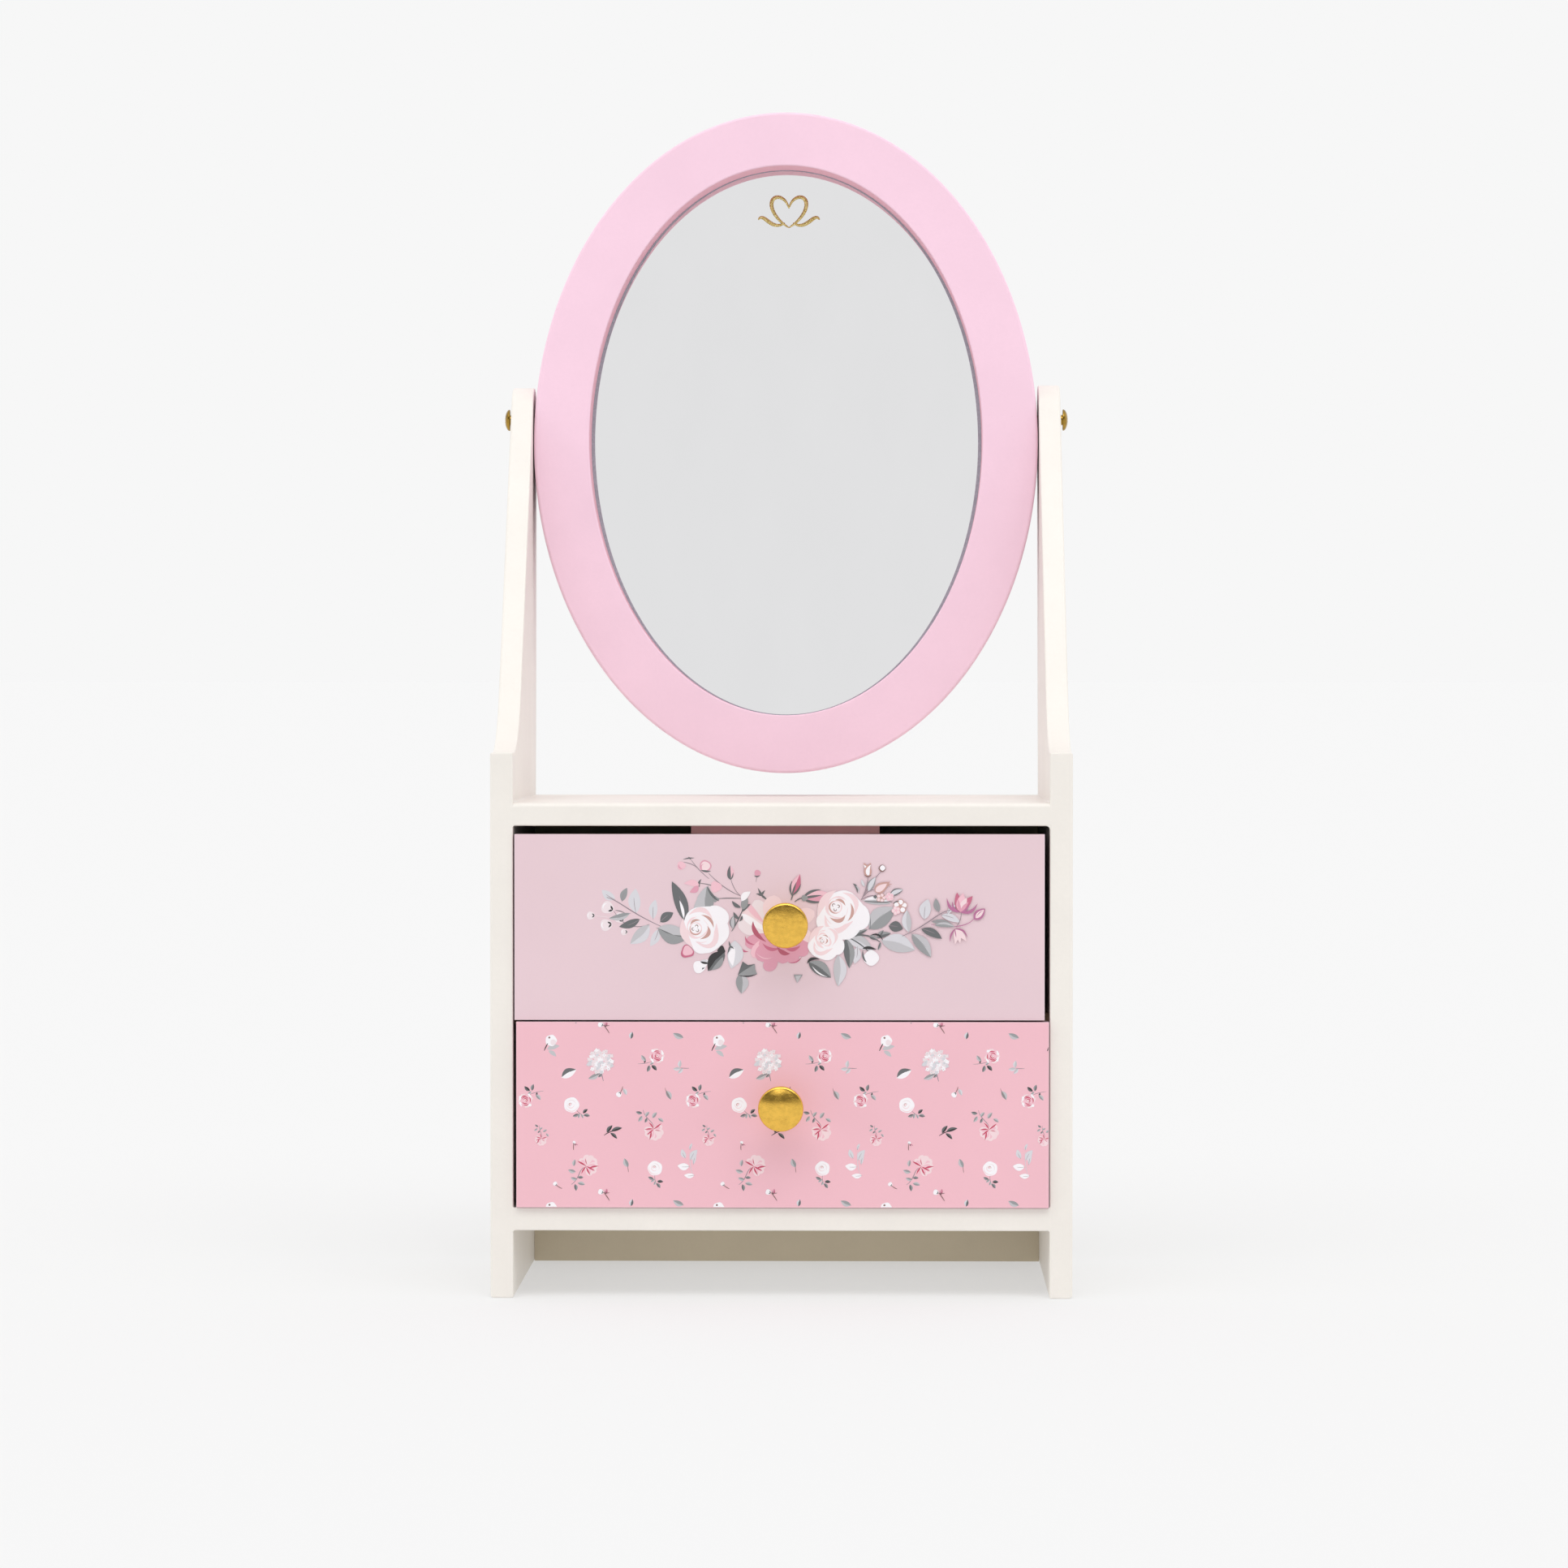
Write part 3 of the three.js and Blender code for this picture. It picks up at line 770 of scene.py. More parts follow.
def cross_cutter(size, width, low, high):
    """A plus-shaped prism that cuts a screw's recess, tapering towards its bottom."""
    a, b = size / 2, width / 2
    outline = [
        (b, b), (b, a), (-b, a), (-b, b), (-a, b), (-a, -b),
        (-b, -b), (-b, -a), (b, -a), (b, -b), (a, -b), (a, b),
    ]
    points = [(x * 0.6, y * 0.6, low) for x, y in outline] + [(x, y, high) for x, y in outline]
    return points, prism_faces(len(outline))


def screw_mesh(name, shank_length, matrix, material):
    """A round-headed cross-recess screw, head up along +z before matrix moves it."""
    radius, height = SCREW_HEAD
    shank = 1.5
    profile = [(0, -shank_length), (shank * 0.4, -shank_length), (shank, -shank_length + 2)]
    pitch = 0.9
    turns = int((shank_length - 4) / pitch)
    for turn in range(turns):
        base = -shank_length + 2.2 + turn * pitch
        profile += [(shank - 0.25, base + pitch * 0.25), (shank, base + pitch * 0.75)]
    profile += [(shank, -0.4), (shank, 0), (radius - 0.15, 0), (radius, 0.12)]
    profile += [(radius * math.cos(a), 0.15 + (height - 0.15) * math.sin(a))
                for a in (math.radians(step * 90 / 10) for step in range(1, 10))]
    profile += [(0, height)]
    points, faces = lathe(profile, 64)
    body = bpy.data.objects.new("body", mesh_from("body", points, faces, [MATERIALS[material]]))
    cut_points, cut_faces = cross_cutter(
        size=3.4, width=0.75, low=height - 0.95, high=height + 0.5
    )
    cutter_mesh = mesh_from("cutter", cut_points, cut_faces, [MATERIALS[material]], smooth=False)
    cutter = bpy.data.objects.new("cutter", cutter_mesh)
    for thing in (body, cutter):
        bpy.context.collection.objects.link(thing)
    carve = body.modifiers.new("recess", "BOOLEAN")
    carve.object = cutter
    carve.operation = "DIFFERENCE"
    carve.solver = "EXACT"
    evaluated = body.evaluated_get(bpy.context.evaluated_depsgraph_get())
    mesh = bpy.data.meshes.new_from_object(evaluated)
    mesh.name = name
    for thing in (body, cutter):
        bpy.data.objects.remove(thing)
    mesh.transform(Matrix.Scale(MM, 4) @ matrix @ Matrix.Scale(1 / MM, 4))
    mesh.set_sharp_from_angle(angle=math.radians(40))
    return mesh


def make_pivot_screws():
    for label, side in SIDES.items():
        low, high = corners(f"pivot_screw_{label}")
        outer = high.x if side > 0 else low.x
        seat = outer - side * SCREW_HEAD[1]
        # The two recesses stop at different turns, as hand-driven screws do.
        turn = Matrix.Rotation(math.radians(20 if side > 0 else 62), 4, "Z")
        matrix = (
            Matrix.Translation((seat, PIVOT.y, PIVOT.z))
            @ Matrix.Rotation(side * math.pi / 2, 4, "Y")
            @ turn
        )
        shank_length = high.x - low.x - SCREW_HEAD[1]
        # The pivot screws get the darkened brass: painted dark reflections.
        mesh = screw_mesh(f"pivot_screw_{label}", shank_length, matrix, "screw_brass_dark_reflection")
        piece(f"pivot_bolt_{label}", mesh, "mirror", "brass", f"pivot_screw_{label}")
        dress(f"pivot_washer_{label}", "nylon", 0.15)


CROWN = {"lower": 1.15, "upper": 0.5}  # how far each knob's face is domed


def knob_profile(crown):
    """A knob's section as (radius, height): flange, waist, flared head, rounded rim, domed face."""
    foot = 1.1
    waist = 2.7
    edge = 0.8  # radius of the rolled rim
    rim = KNOB_LENGTH - crown - 2 * edge
    flare = bezier(
        (waist, foot + 2.2), (waist, foot + 5.6), (waist + 1.8, rim - 1.4), (KNOB_RADIUS - 0.06, rim)
    )
    bore = [(0, 8.0), (1.6, 8.0), (1.6, 0.0)]
    flange = [(3.75, 0.0), (4.0, 0.25), (4.0, 0.8), (3.75, foot)]
    profile = [*bore, *flange, (waist + 0.35, foot + 0.1), (waist, foot + 0.6)]
    profile += [tuple(flare(i / 16)) for i in range(17)]
    profile += arc((KNOB_RADIUS - edge, rim + edge), edge, -15, 78, 12)
    radius, height = profile[-1]
    for i in range(1, 15):
        t = 1 - i / 14
        profile.append((radius * t, KNOB_LENGTH - (KNOB_LENGTH - height) * t * t))
    return profile


def make_knob(drawer):
    node = f"{drawer}_knob"
    low, high = corners(node)
    centre = (low + high) / 2
    points, faces = lathe(knob_profile(CROWN[drawer]), 128)
    matrix = Matrix.Translation((centre.x, high.y, centre.z)) @ Matrix.Rotation(math.pi / 2, 4, "X")
    mesh = mesh_from(node, placed(points, matrix), faces, [MATERIALS["brass"]])
    mesh.set_sharp_from_angle(angle=math.radians(50))
    piece(f"{drawer}_knob_turned", mesh, f"{drawer}_drawer", "brass", node)

    screw_low, screw_high = corners(f"{drawer}_knob_screw")
    seat = screw_high.y - SCREW_HEAD[1]
    length = seat - screw_low.y
    place = Matrix.Translation((centre.x, seat, centre.z)) @ Matrix.Rotation(-math.pi / 2, 4, "X")
    screw = screw_mesh(f"{drawer}_screw", length, place, "zinc")
    piece(f"{drawer}_knob_bolt", screw, f"{drawer}_drawer", "steel", f"{drawer}_knob_screw")


# ---- Printed patterns ----

INKS = {
    "white": srgb(248, 244, 248),
    "veil": srgb(238, 224, 228),
    "blush": srgb(243, 216, 220),
    "tan": srgb(202, 158, 150),
    "umber": srgb(138, 104, 100),
    "pale_pink": srgb(240, 192, 204),
    "pink": srgb(223, 158, 178),
    "rose": srgb(200, 108, 136),
    "wine": srgb(182, 90, 112),
    "crimson": srgb(198, 70, 100),
    "plum": srgb(184, 112, 152),
    "leaf_pale": srgb(216, 214, 220),
    "leaf_light": srgb(194, 192, 196),
    "leaf_mid": srgb(152, 153, 155),
    "leaf_dark": srgb(104, 106, 108),
    "soot": srgb(52, 50, 52),
    "stem": srgb(150, 134, 142),
}

PALE = ("leaf_pale", None)
LIGHT = ("leaf_pale", "leaf_light")
GREY = ("leaf_light", "leaf_mid")
MID = ("leaf_mid", None)
DEEP = ("leaf_dark", None)
DARK = ("leaf_mid", "leaf_dark")
BLACK = ("leaf_dark", "soot")
HUSK = ("leaf_pale", "soot")


class Print:
    """Flat ink shapes laid one over another on a drawer's paper.

    Shapes are drawn in millimetres, x to the right and y up, and each new shape lies a hair in
    front of the one before, as overprinted inks do.
    """

    LAYER = 0.0009  # thickness of a coat of ink
    POINTED = 0.05  # width of a stroke's ends, as a share of its middle
    GOLDEN_ANGLE = 2.399963  # spreads florets evenly over a disc

    def __init__(self):
        self.level = 1
        self.inks = list(INKS)
        self.points, self.faces, self.indices = [], [], []
        self.matrix = Matrix.Identity(3)

    @contextmanager
    def at(self, x, y, angle=0.0, size=1.0):
        """Draws what is inside the with block at x, y, turned by angle degrees and scaled."""
        before = self.matrix
        cos = math.cos(math.radians(angle)) * size
        sin = math.sin(math.radians(angle)) * size
        self.matrix = before @ Matrix(((cos, -sin, x), (sin, cos, y), (0, 0, 1)))
        yield
        self.matrix = before

    def along(self, base, tip):
        """Draws with x running from base to tip, which become 0, 0 and 1, 0."""
        run = Vector(tip) - Vector(base)
        return self.at(*base, math.degrees(math.atan2(run.y, run.x)), run.length)

    def start_on_paper(self):
        """Starts again at the paper, for a plant that overlaps none before it."""
        self.level = 1

    def lay(self, outline):
        """Adds corners a little above the shape before them and tells where they start."""
        start = len(self.points)
        for x, y in outline:
            place = self.matrix @ Vector((x, y, 1))
            self.points.append((place.x, place.y, self.LAYER * self.level))
        self.level += 1
        return start

    def area(self, outline, colour, middle=None):
        """Fills an outline that can be seen whole from its middle."""
        if middle is None:
            middle = [sum(point[k] for point in outline) / len(outline) for k in (0, 1)]
        start = self.lay([middle, *outline])
        count = len(outline)
        for i in range(count):
            self.faces.append((start, start + 1 + i, start + 1 + (i + 1) % count))
            self.indices.append(self.inks.index(colour))

    def ribbon(self, path, width, colour, ends):
        """A line along path, a function of 0..1, thickest in its middle."""
        steps = 10
        left, right = [], []
        for i in range(steps + 1):
            t = i / steps
            here = Vector(path(t))
            ahead = Vector(path(min(1, t + 0.01))) - Vector(path(max(0, t - 0.01)))
            side = Vector((-ahead.y, ahead.x)).normalized()
            half = width / 2 * (ends + (1 - ends) * math.sin(math.pi * t))
            left.append(here + side * half)
            right.append(here - side * half)
        start = self.lay(left + right)
        row = steps + 1
        for i in range(steps):
            self.faces.append((start + i, start + row + i, start + row + i + 1, start + i + 1))
            self.indices.append(self.inks.index(colour))

    def line(self, width, colour, *points, ends=0.5):
        self.ribbon(bezier(*points), width, colour, ends)

    def brush(self, width, colour, *points):
        """A fat stroke that tapers to nothing at both ends."""
        self.ribbon(bezier(*points), width, colour, self.POINTED)

    def disc(self, x, y, radius, colour, wobble=0.0, lobes=5, turn=0.0, corners=24):
        """A round blot, or one with soft lobes."""
        outline = []
        for i in range(corners):
            angle = 2 * math.pi * i / corners
            reach = radius * (1 + wobble * math.cos(lobes * angle + turn))
            outline.append((x + reach * math.cos(angle), y + reach * math.sin(angle)))
        self.area(outline, colour, (x, y))

    def crescent(self, x, y, radius, start, sweep, width, colour):
        """A tapering stroke about x, y."""
        def path(t):
            angle = math.radians(start + sweep * t)
            return (x + radius * math.cos(angle), y + radius * math.sin(angle))
        self.ribbon(path, width, colour, self.POINTED)

    def blade(self, base, tip, width, colour, lean=0.0, blunt=0.9, side=0, plump=0.85, steps=10):
        """A leaf or petal, width as a share of its length. side 1 or -1 draws one half of it."""
        upper, lower = [], []
        for i in range(steps + 1):
            t = i / steps
            half = width / 2 * math.sin(math.pi * t ** blunt) ** plump
            middle = lean * math.sin(math.pi * t)
            upper.append((t, middle + (half if side >= 0 else 0)))
            lower.append((t, middle - (half if side <= 0 else 0)))
        with self.along(base, tip):
            self.area(upper + lower[-2:0:-1], colour, (0.5, lean))

    def petal(self, base, tip, width, colour, lean=0.0):
        """A petal that is broadest near its rounded tip."""
        self.blade(base, tip, width, colour, lean, blunt=1.5, plump=0.5, steps=18)

    # -- Plants --

    def leaf(self, base, tip, width, tones, lean=0.06, rib=0.14):
        """A leaf with a lit half, a shaded half and a midrib."""
        lit, dark = tones
        self.blade(base, tip, width, lit, lean)
        if dark:
            self.blade(base, tip, width, dark, lean, side=-1)
        if rib:
            length = (Vector(tip) - Vector(base)).length
            with self.along(base, tip):
                midrib = (-0.04, 0), (0.3, lean * 1.3), (0.62, lean * 1.2)
                self.line(rib / length, dark or "stem", *midrib)

    def outlined_leaf(self, base, tip, width, fill, edge):
        self.blade(base, tip, width * 1.25, edge, 0.05)
        self.blade(base, tip, width * 0.8, fill, 0.05)

    def bud(self, base, tip, petals=("pink", "pale_pink"), calyx="leaf_dark", width=0.5, sepals=0.5):
        """A closed flower held in its sepals."""
        back, front = petals
        self.blade(base, tip, width, back, 0.0, 0.8)
        self.blade(base, tip, width * 0.45, front, 0.1, 0.8)
        with self.along(base, tip):
            for lean in (-0.2, 0.02, 0.22):
                self.blade((-0.04, 0), (sepals, lean), width * 0.3, calyx, lean * 0.5, 0.8)

    def soft_bud(self, x, y, radius, angle, colour="veil", calyx="soot"):
        """A small round bud, its stub of calyx on the side that angle points to."""
        with self.at(x, y, angle, radius):
            self.disc(0, 0, 1, colour, 0.07, 3)
            self.crescent(-0.1, 0, 0.62, 110, 120, 0.22, "white")
            for lean in (-0.5, 0.5):
                self.blade((0.95, 0), (0.35, lean), 0.4, calyx)

    def rose(self, x, y, radius, turn=0.0, fold="blush", shadow="tan", curls="umber"):
        """A full garden rose seen from in front, its heart off to one side."""
        with self.at(x, y, turn, radius):
            self.disc(0, 0, 0.93, "white", 0.035, 5, 1.2, corners=60)
            self.disc(0.42, 0.44, 0.5, "white", 0.04, 3, corners=40)
            self.disc(-0.1, -0.5, 0.48, "white", 0.04, 3, corners=40)
            self.brush(0.3, fold, (-0.88, 0.42), (-1.0, -0.2), (-0.5, -0.72))
            self.brush(0.2, fold, (-0.66, 0.56), (-0.1, 1.06), (0.28, 0.4))
            self.brush(0.34, fold, (-0.38, -0.5), (0.5, -0.95), (0.44, 0.22))
            self.brush(0.14, "white", (-0.2, -0.55), (0.28, -0.7), (0.34, 0.04))
            self.disc(-0.33, 0.05, 0.43, fold, 0.06, 3)
            self.disc(-0.3, 0.08, 0.38, "white", 0.06, 4)
            self.brush(0.12, shadow, (-0.16, 0.56), (0.28, 0.48), (0.32, 0.06))
            self.brush(0.15, shadow, (0.08, 0.12), (0.3, -0.24), (-0.2, -0.4))
            self.brush(0.1, shadow, (-0.6, 0.16), (-0.5, 0.42), (-0.2, 0.34))
            self.disc(-0.38, 0.02, 0.25, fold)
            self.disc(-0.38, 0.03, 0.2, "white", 0.06, 3)
            self.crescent(-0.38, 0.02, 0.24, 150, 200, 0.06, shadow)
            for angle, reach in ((70, 0.09), (190, 0.1), (310, 0.09)):
                cx = -0.38 + reach * math.cos(math.radians(angle))
                cy = 0.02 + reach * math.sin(math.radians(angle))
                self.crescent(cx, cy, 0.055, angle - 140, 280, 0.035, curls)

    def floret(self, x, y, radius, fill="blush", edge="tan", turn=0.0):
        """A small open flower with five outlined petals."""
        for k in range(5):
            with self.at(x, y, turn + 72 * k, radius):
                self.disc(0.58, 0, 0.46, edge)
                self.disc(0.6, 0, 0.34, fill)
        self.disc(x, y, radius * 0.2, edge)

    def hydrangea(self, x, y, radius):
        """A mop of tiny pale florets over a short leafy stalk."""
        dice = random.Random(7)
        with self.at(x, y, 0, radius):
            self.line(0.07, "stem", (0.0, -0.7), (0.14, -1.1), (0.24, -1.56))
            self.leaf((-0.1, -0.98), (-0.94, -1.38), 0.42, GREY, rib=0)
            self.leaf((0.0, -0.8), (-0.4, -1.1), 0.5, DARK, rib=0)
            self.leaf((0.1, -1.0), (-0.16, -1.26), 0.5, DARK, rib=0)
            florets = 64
            for k in range(florets):
                reach = math.sqrt((k + 0.5) / florets)
                angle = k * self.GOLDEN_ANGLE + dice.uniform(-0.2, 0.2)
                cx, cy = reach * math.cos(angle), reach * math.sin(angle) * 0.92
                tone = dice.choice(("white", "leaf_pale", "veil", "veil"))
                self.disc(cx, cy, 0.15, tone, 0.3, 4, dice.random() * 6, corners=12)
                if k % 2 == 0:
                    self.disc(cx, cy, 0.035, "leaf_light", corners=6)


def each(draw, *rows, **looks):
    """Draws a shape for each row of values, in their order, as each covers the one before."""
    for row in rows:
        draw(*row, **looks)


def draw_left_spray(sheet):
    """Pale leaves and round buds, to the left of the roses."""
    each(
        sheet.leaf,
        ((-45.1, 7.6), (-48.7, 10.2), 0.52, PALE), ((-39.3, 3.9), (-39.5, 10.6), 0.5, PALE),
        ((-34.6, 2.3), (-34.0, 7.6), 0.44, PALE), ((-33.2, -0.6), (-35.4, -5.2), 0.45, PALE),
    )
    each(
        sheet.soft_bud,
        (-51.8, 3.2, 1.1, 0), (-47.2, 5.4, 1.7, -24), (-47.6, 0.6, 1.6, 10), (-43.9, 2.6, 1.4, -40),
        (-42.6, -1.3, 0.9, 0),
    )
    each(
        sheet.line,
        (0.14, "veil", (-50.4, 3.1), (-48, 2.9), (-46.2, 2.6)),
        (0.28, "stem", (-32, 0), (-38.3, 2.8), (-41.8, 5), (-44.6, 7.6), (-47.4, 8.2)),
        (0.22, "stem", (-35.7, 0.8), (-39, -0.6), (-43, 0), (-45.4, 4.4)),
        (0.22, "leaf_dark", (-42.3, 3.8), (-43.8, 4.6), (-45, 4.6)),
    )
    each(
        sheet.leaf,
        ((-43.2, 7.1), (-41.8, 10.8), 0.46, MID), ((-41.0, 3.8), (-46.8, 2.4), 0.3, GREY),
        ((-38.3, 2.2), (-44.0, 0.1), 0.36, DEEP), ((-35.7, 0.6), (-40.9, -4.6), 0.5, LIGHT),
        ((-32.7, 1.4), (-29.1, 4.0), 0.56, DEEP),
    )


def draw_bud_sprigs(sheet):
    """Thin stems with little buds, up and to the left from the knob."""
    each(
        sheet.line,
        (0.24, "stem", (-10.6, 8.6), (-15, 10.2), (-19.4, 14.8)),
        (0.2, "stem", (-19.3, 13.3), (-22.6, 16), (-24.4, 18.8)),
        (0.2, "stem", (-22.6, 16.3), (-23.6, 17.4), (-26.2, 17.9)),
        (0.2, "leaf_dark", (-16, 10.6), (-19, 11.8), (-21.8, 12.1)),
        (0.18, "stem", (-10.8, 8.8), (-12.6, 10.2), (-13.4, 13.6)),
        (0.12, "stem", (-6.4, 12.4), (-6.3, 13.4), (-6.1, 14.2)),
    )
    sheet.line(0.36, "leaf_dark", (-26.4, 18.6), (-25, 19.1), (-23.3, 19.0), ends=0.1)
    sheet.line(0.25, "leaf_dark", (-24.9, 19.3), (-24.6, 19), (-24.4, 18.6))
    sheet.disc(-26.9, 16.9, 1.15, "pale_pink", 0.08, 3)
    sheet.crescent(-26.8, 16.9, 0.8, 150, 140, 0.4, "pink")
    sheet.disc(-20.3, 16.8, 1.6, "pink", 0.05, 3)
    sheet.disc(-20.3, 16.8, 1.25, "blush", 0.05, 3)
    sheet.crescent(-20.6, 16.6, 0.8, 100, 130, 0.25, "pink")
    sheet.brush(0.55, "leaf_dark", (-21.6, 15.7), (-20.2, 15.2), (-18.8, 15.4))
    sheet.brush(0.6, "leaf_dark", (-21.9, 11.0), (-22.4, 12.2), (-21.4, 13.2))
    sheet.blade((-22.0, 11.6), (-26.2, 12.0), 0.42, "pale_pink", -0.1, 0.7)
    sheet.blade((-22.2, 11.3), (-24.6, 9.6), 0.55, "pink", 0.1, 0.8)
    sheet.disc(-17.4, 11.1, 1.5, "pale_pink", 0.12, 3)
    sheet.bud((-13.4, 13.2), (-13.5, 17.0), ("pale_pink", "leaf_dark"), "leaf_dark", 0.56)
    sheet.disc(-6.0, 14.9, 0.85, "pink", 0.06, 3)
    sheet.brush(0.4, "leaf_dark", (-6.9, 14.2), (-6.2, 13.6), (-5.3, 14.3))
    for tip in ((-6.4, 9.2), (-5.9, 10.8), (-3.9, 10.2), (-3.0, 7.2)):
        sheet.brush(0.6, "leaf_dark", (-4.9, 8.6), (-5.0, 9.0), tip)
    sheet.line(0.22, "leaf_dark", (-17.5, 7.8), (-14, 8.1), (-10.4, 7.9))
    sheet.disc(-17.4, 7.7, 0.75, "leaf_mid", 0.25, 3)


def draw_left_flowers(sheet):
    """The left rose, and the leaves tucked behind and below it."""
    sheet.leaf((-25.6, 1.4), (-29.5, 12.6), 0.3, DEEP, lean=-0.04)
    sheet.blade((-26.2, 2.4), (-27.4, 7.4), 0.16, "white", -0.04)
    sheet.leaf((-23.4, 3.0), (-19.6, 11.4), 0.5, GREY, lean=-0.12)
    sheet.leaf((-20.0, 3.6), (-19.9, 11.2), 0.62, GREY, lean=0.05)
    sheet.brush(0.7, "leaf_dark", (-19.9, 11.2), (-18.6, 8.4), (-16.6, 7.2))
    sheet.leaf((-33.4, -0.2), (-24.4, -2.6), 0.56, GREY, lean=-0.08)
    sheet.blade((-12.2, -3.6), (-13.2, -11.4), 0.56, "leaf_pale", 0.08)
    sheet.blade((-12.4, -5.4), (-12.8, -10.6), 0.36, "white", -0.1)
    sheet.disc(-25.3, -6.7, 1.75, "rose", 0.12, 3, 1.0)
    sheet.disc(-25.2, -6.5, 1.35, "pale_pink", 0.12, 3, 1.0)
    sheet.soft_bud(-22.0, -10.9, 1.7, 10, "white", "leaf_dark")
    sheet.blade((-19.4, -9.0), (-23.0, -10.6), 0.5, "white", 0.1)
    sheet.leaf((-21.7, -9.4), (-19.2, -9.9), 0.5, HUSK, rib=0)
    sheet.rose(-20.3, -0.5, 6.9)
    sheet.leaf((-15.0, -6.8), (-19.6, -12.0), 0.56, BLACK, lean=-0.06)
    sheet.blade((-15.4, -8.2), (-18.6, -11.8), 0.3, "leaf_mid", 0.1)
    sheet.disc(-15.9, -6.2, 1.0, "soot", 0.18, 3, 2.0)
    for tip in ((-13.9, -3.8), (-12.4, -5.9), (-14.3, -7.4)):
        sheet.brush(0.5, "leaf_dark", (-13.6, -5.2), (-13.4, -5.2), tip)
    # A holly-shaped leaf and a grey one below it
    sheet.leaf((-10.6, -12.6), (-10.4, -18.2), 0.62, GREY)
    spikes = [(-11.4, -13.1), (-10.1, -9.4), (-8.6, -10.4), (-6.7, -10.1)]
    sheet.area([*spikes, (-6.6, -11.6), (-6.1, -12.8), (-8.4, -13.3)], "leaf_mid")
    sheet.area([*spikes, (-9.2, -11.6)], "leaf_dark")
    sheet.brush(0.35, "soot", (-11.4, -13.1), (-8.6, -14), (-6.1, -12.8))
    # A dark sprig between the rose and the peony
    sheet.line(0.3, "leaf_dark", (-13.1, -1.1), (-10.8, 2.4), (-9.0, 7.6))
    sheet.outlined_leaf((-12.7, -0.4), (-12.6, 3.2), 0.36, "leaf_light", "leaf_dark")
    for base, tip in (
        ((-11.0, 2.2), (-12.6, 4.2)), ((-10.3, 4.2), (-7.9, 6.4)),
        ((-10.6, 5.4), (-13.0, 7.2)), ((-10.2, 3.2), (-10.9, 1.6)),
    ):
        sheet.blade(base, tip, 0.34, "leaf_dark", 0.1)
    sheet.blade((-10.1, 4.9), (-8.9, 8.4), 0.52, "leaf_mid")
    sheet.blade((-10.4, 7.2), (-7.9, 9.8), 0.5, "white", 0.1)


def draw_peony(sheet):
    """The open peony that the knob sits on."""
    each(
        sheet.petal,
        ((-3, -1), (-10.2, 5.6), 0.5, "blush"), ((-2, 0), (-6.8, 7.4), 0.5, "veil"),
        ((-2, 0), (-1.4, 8.8), 0.6, "blush"), ((-3, -2), (-11.4, 1.2), 0.42, "veil"),
        ((-3, -1), (-10.4, 3.6), 0.22, "white"), ((-4, 1), (-9.2, 7.0), 0.2, "pale_pink"),
        ((2, 0), (9.6, 4.4), 0.5, "blush"), ((2, -1), (9.4, -3.4), 0.5, "blush"),
        ((-2, -2), (-9.4, -4.8), 0.52, "pink"), ((-2, -2), (-7.4, -8.2), 0.5, "pale_pink"),
        ((-1, -3), (-6.0, -9.0), 0.62, "pink"), ((-0.6, -7), (-3.8, -11.9), 0.62, "pink"),
        ((1, -3), (0.9, -10.0), 0.62, "pink"), ((1, -3), (4.4, -9.8), 0.56, "pink"),
        ((2, -3), (7.8, -7.4), 0.6, "pink"),
        lean=0.03,
    )
    sheet.disc(-1, -4.6, 4.4, "pink", 0.06, 4)
    each(
        sheet.brush,
        (1.3, "wine", (-7.2, 1.6), (-7.6, -1.6), (-3.6, -4.0)),
        (0.6, "rose", (-9.4, -2.4), (-9.2, -4.6), (-6.6, -4.8)),
        (0.65, "rose", (-10.9, -5.0), (-10.6, -6.8), (-8.5, -6.7)),
        (1.0, "rose", (-4.6, -4.4), (-2.6, -7.0), (0.2, -5.6)),
        (1.3, "wine", (-0.6, -5.4), (0.8, -7.6), (2.9, -7.2)),
        (1.0, "rose", (1.6, -5.6), (3.6, -7.0), (5.8, -5.0)),
        (0.8, "pink", (5.2, -4.4), (6.6, -4.0), (8.0, -4.3)),
        (0.3, "pale_pink", (-6.4, -7.0), (-4.4, -9.4), (-1.8, -8.2)),
        (0.35, "rose", (2.4, -9.6), (5.0, -10.2), (6.2, -8.0)),
    )


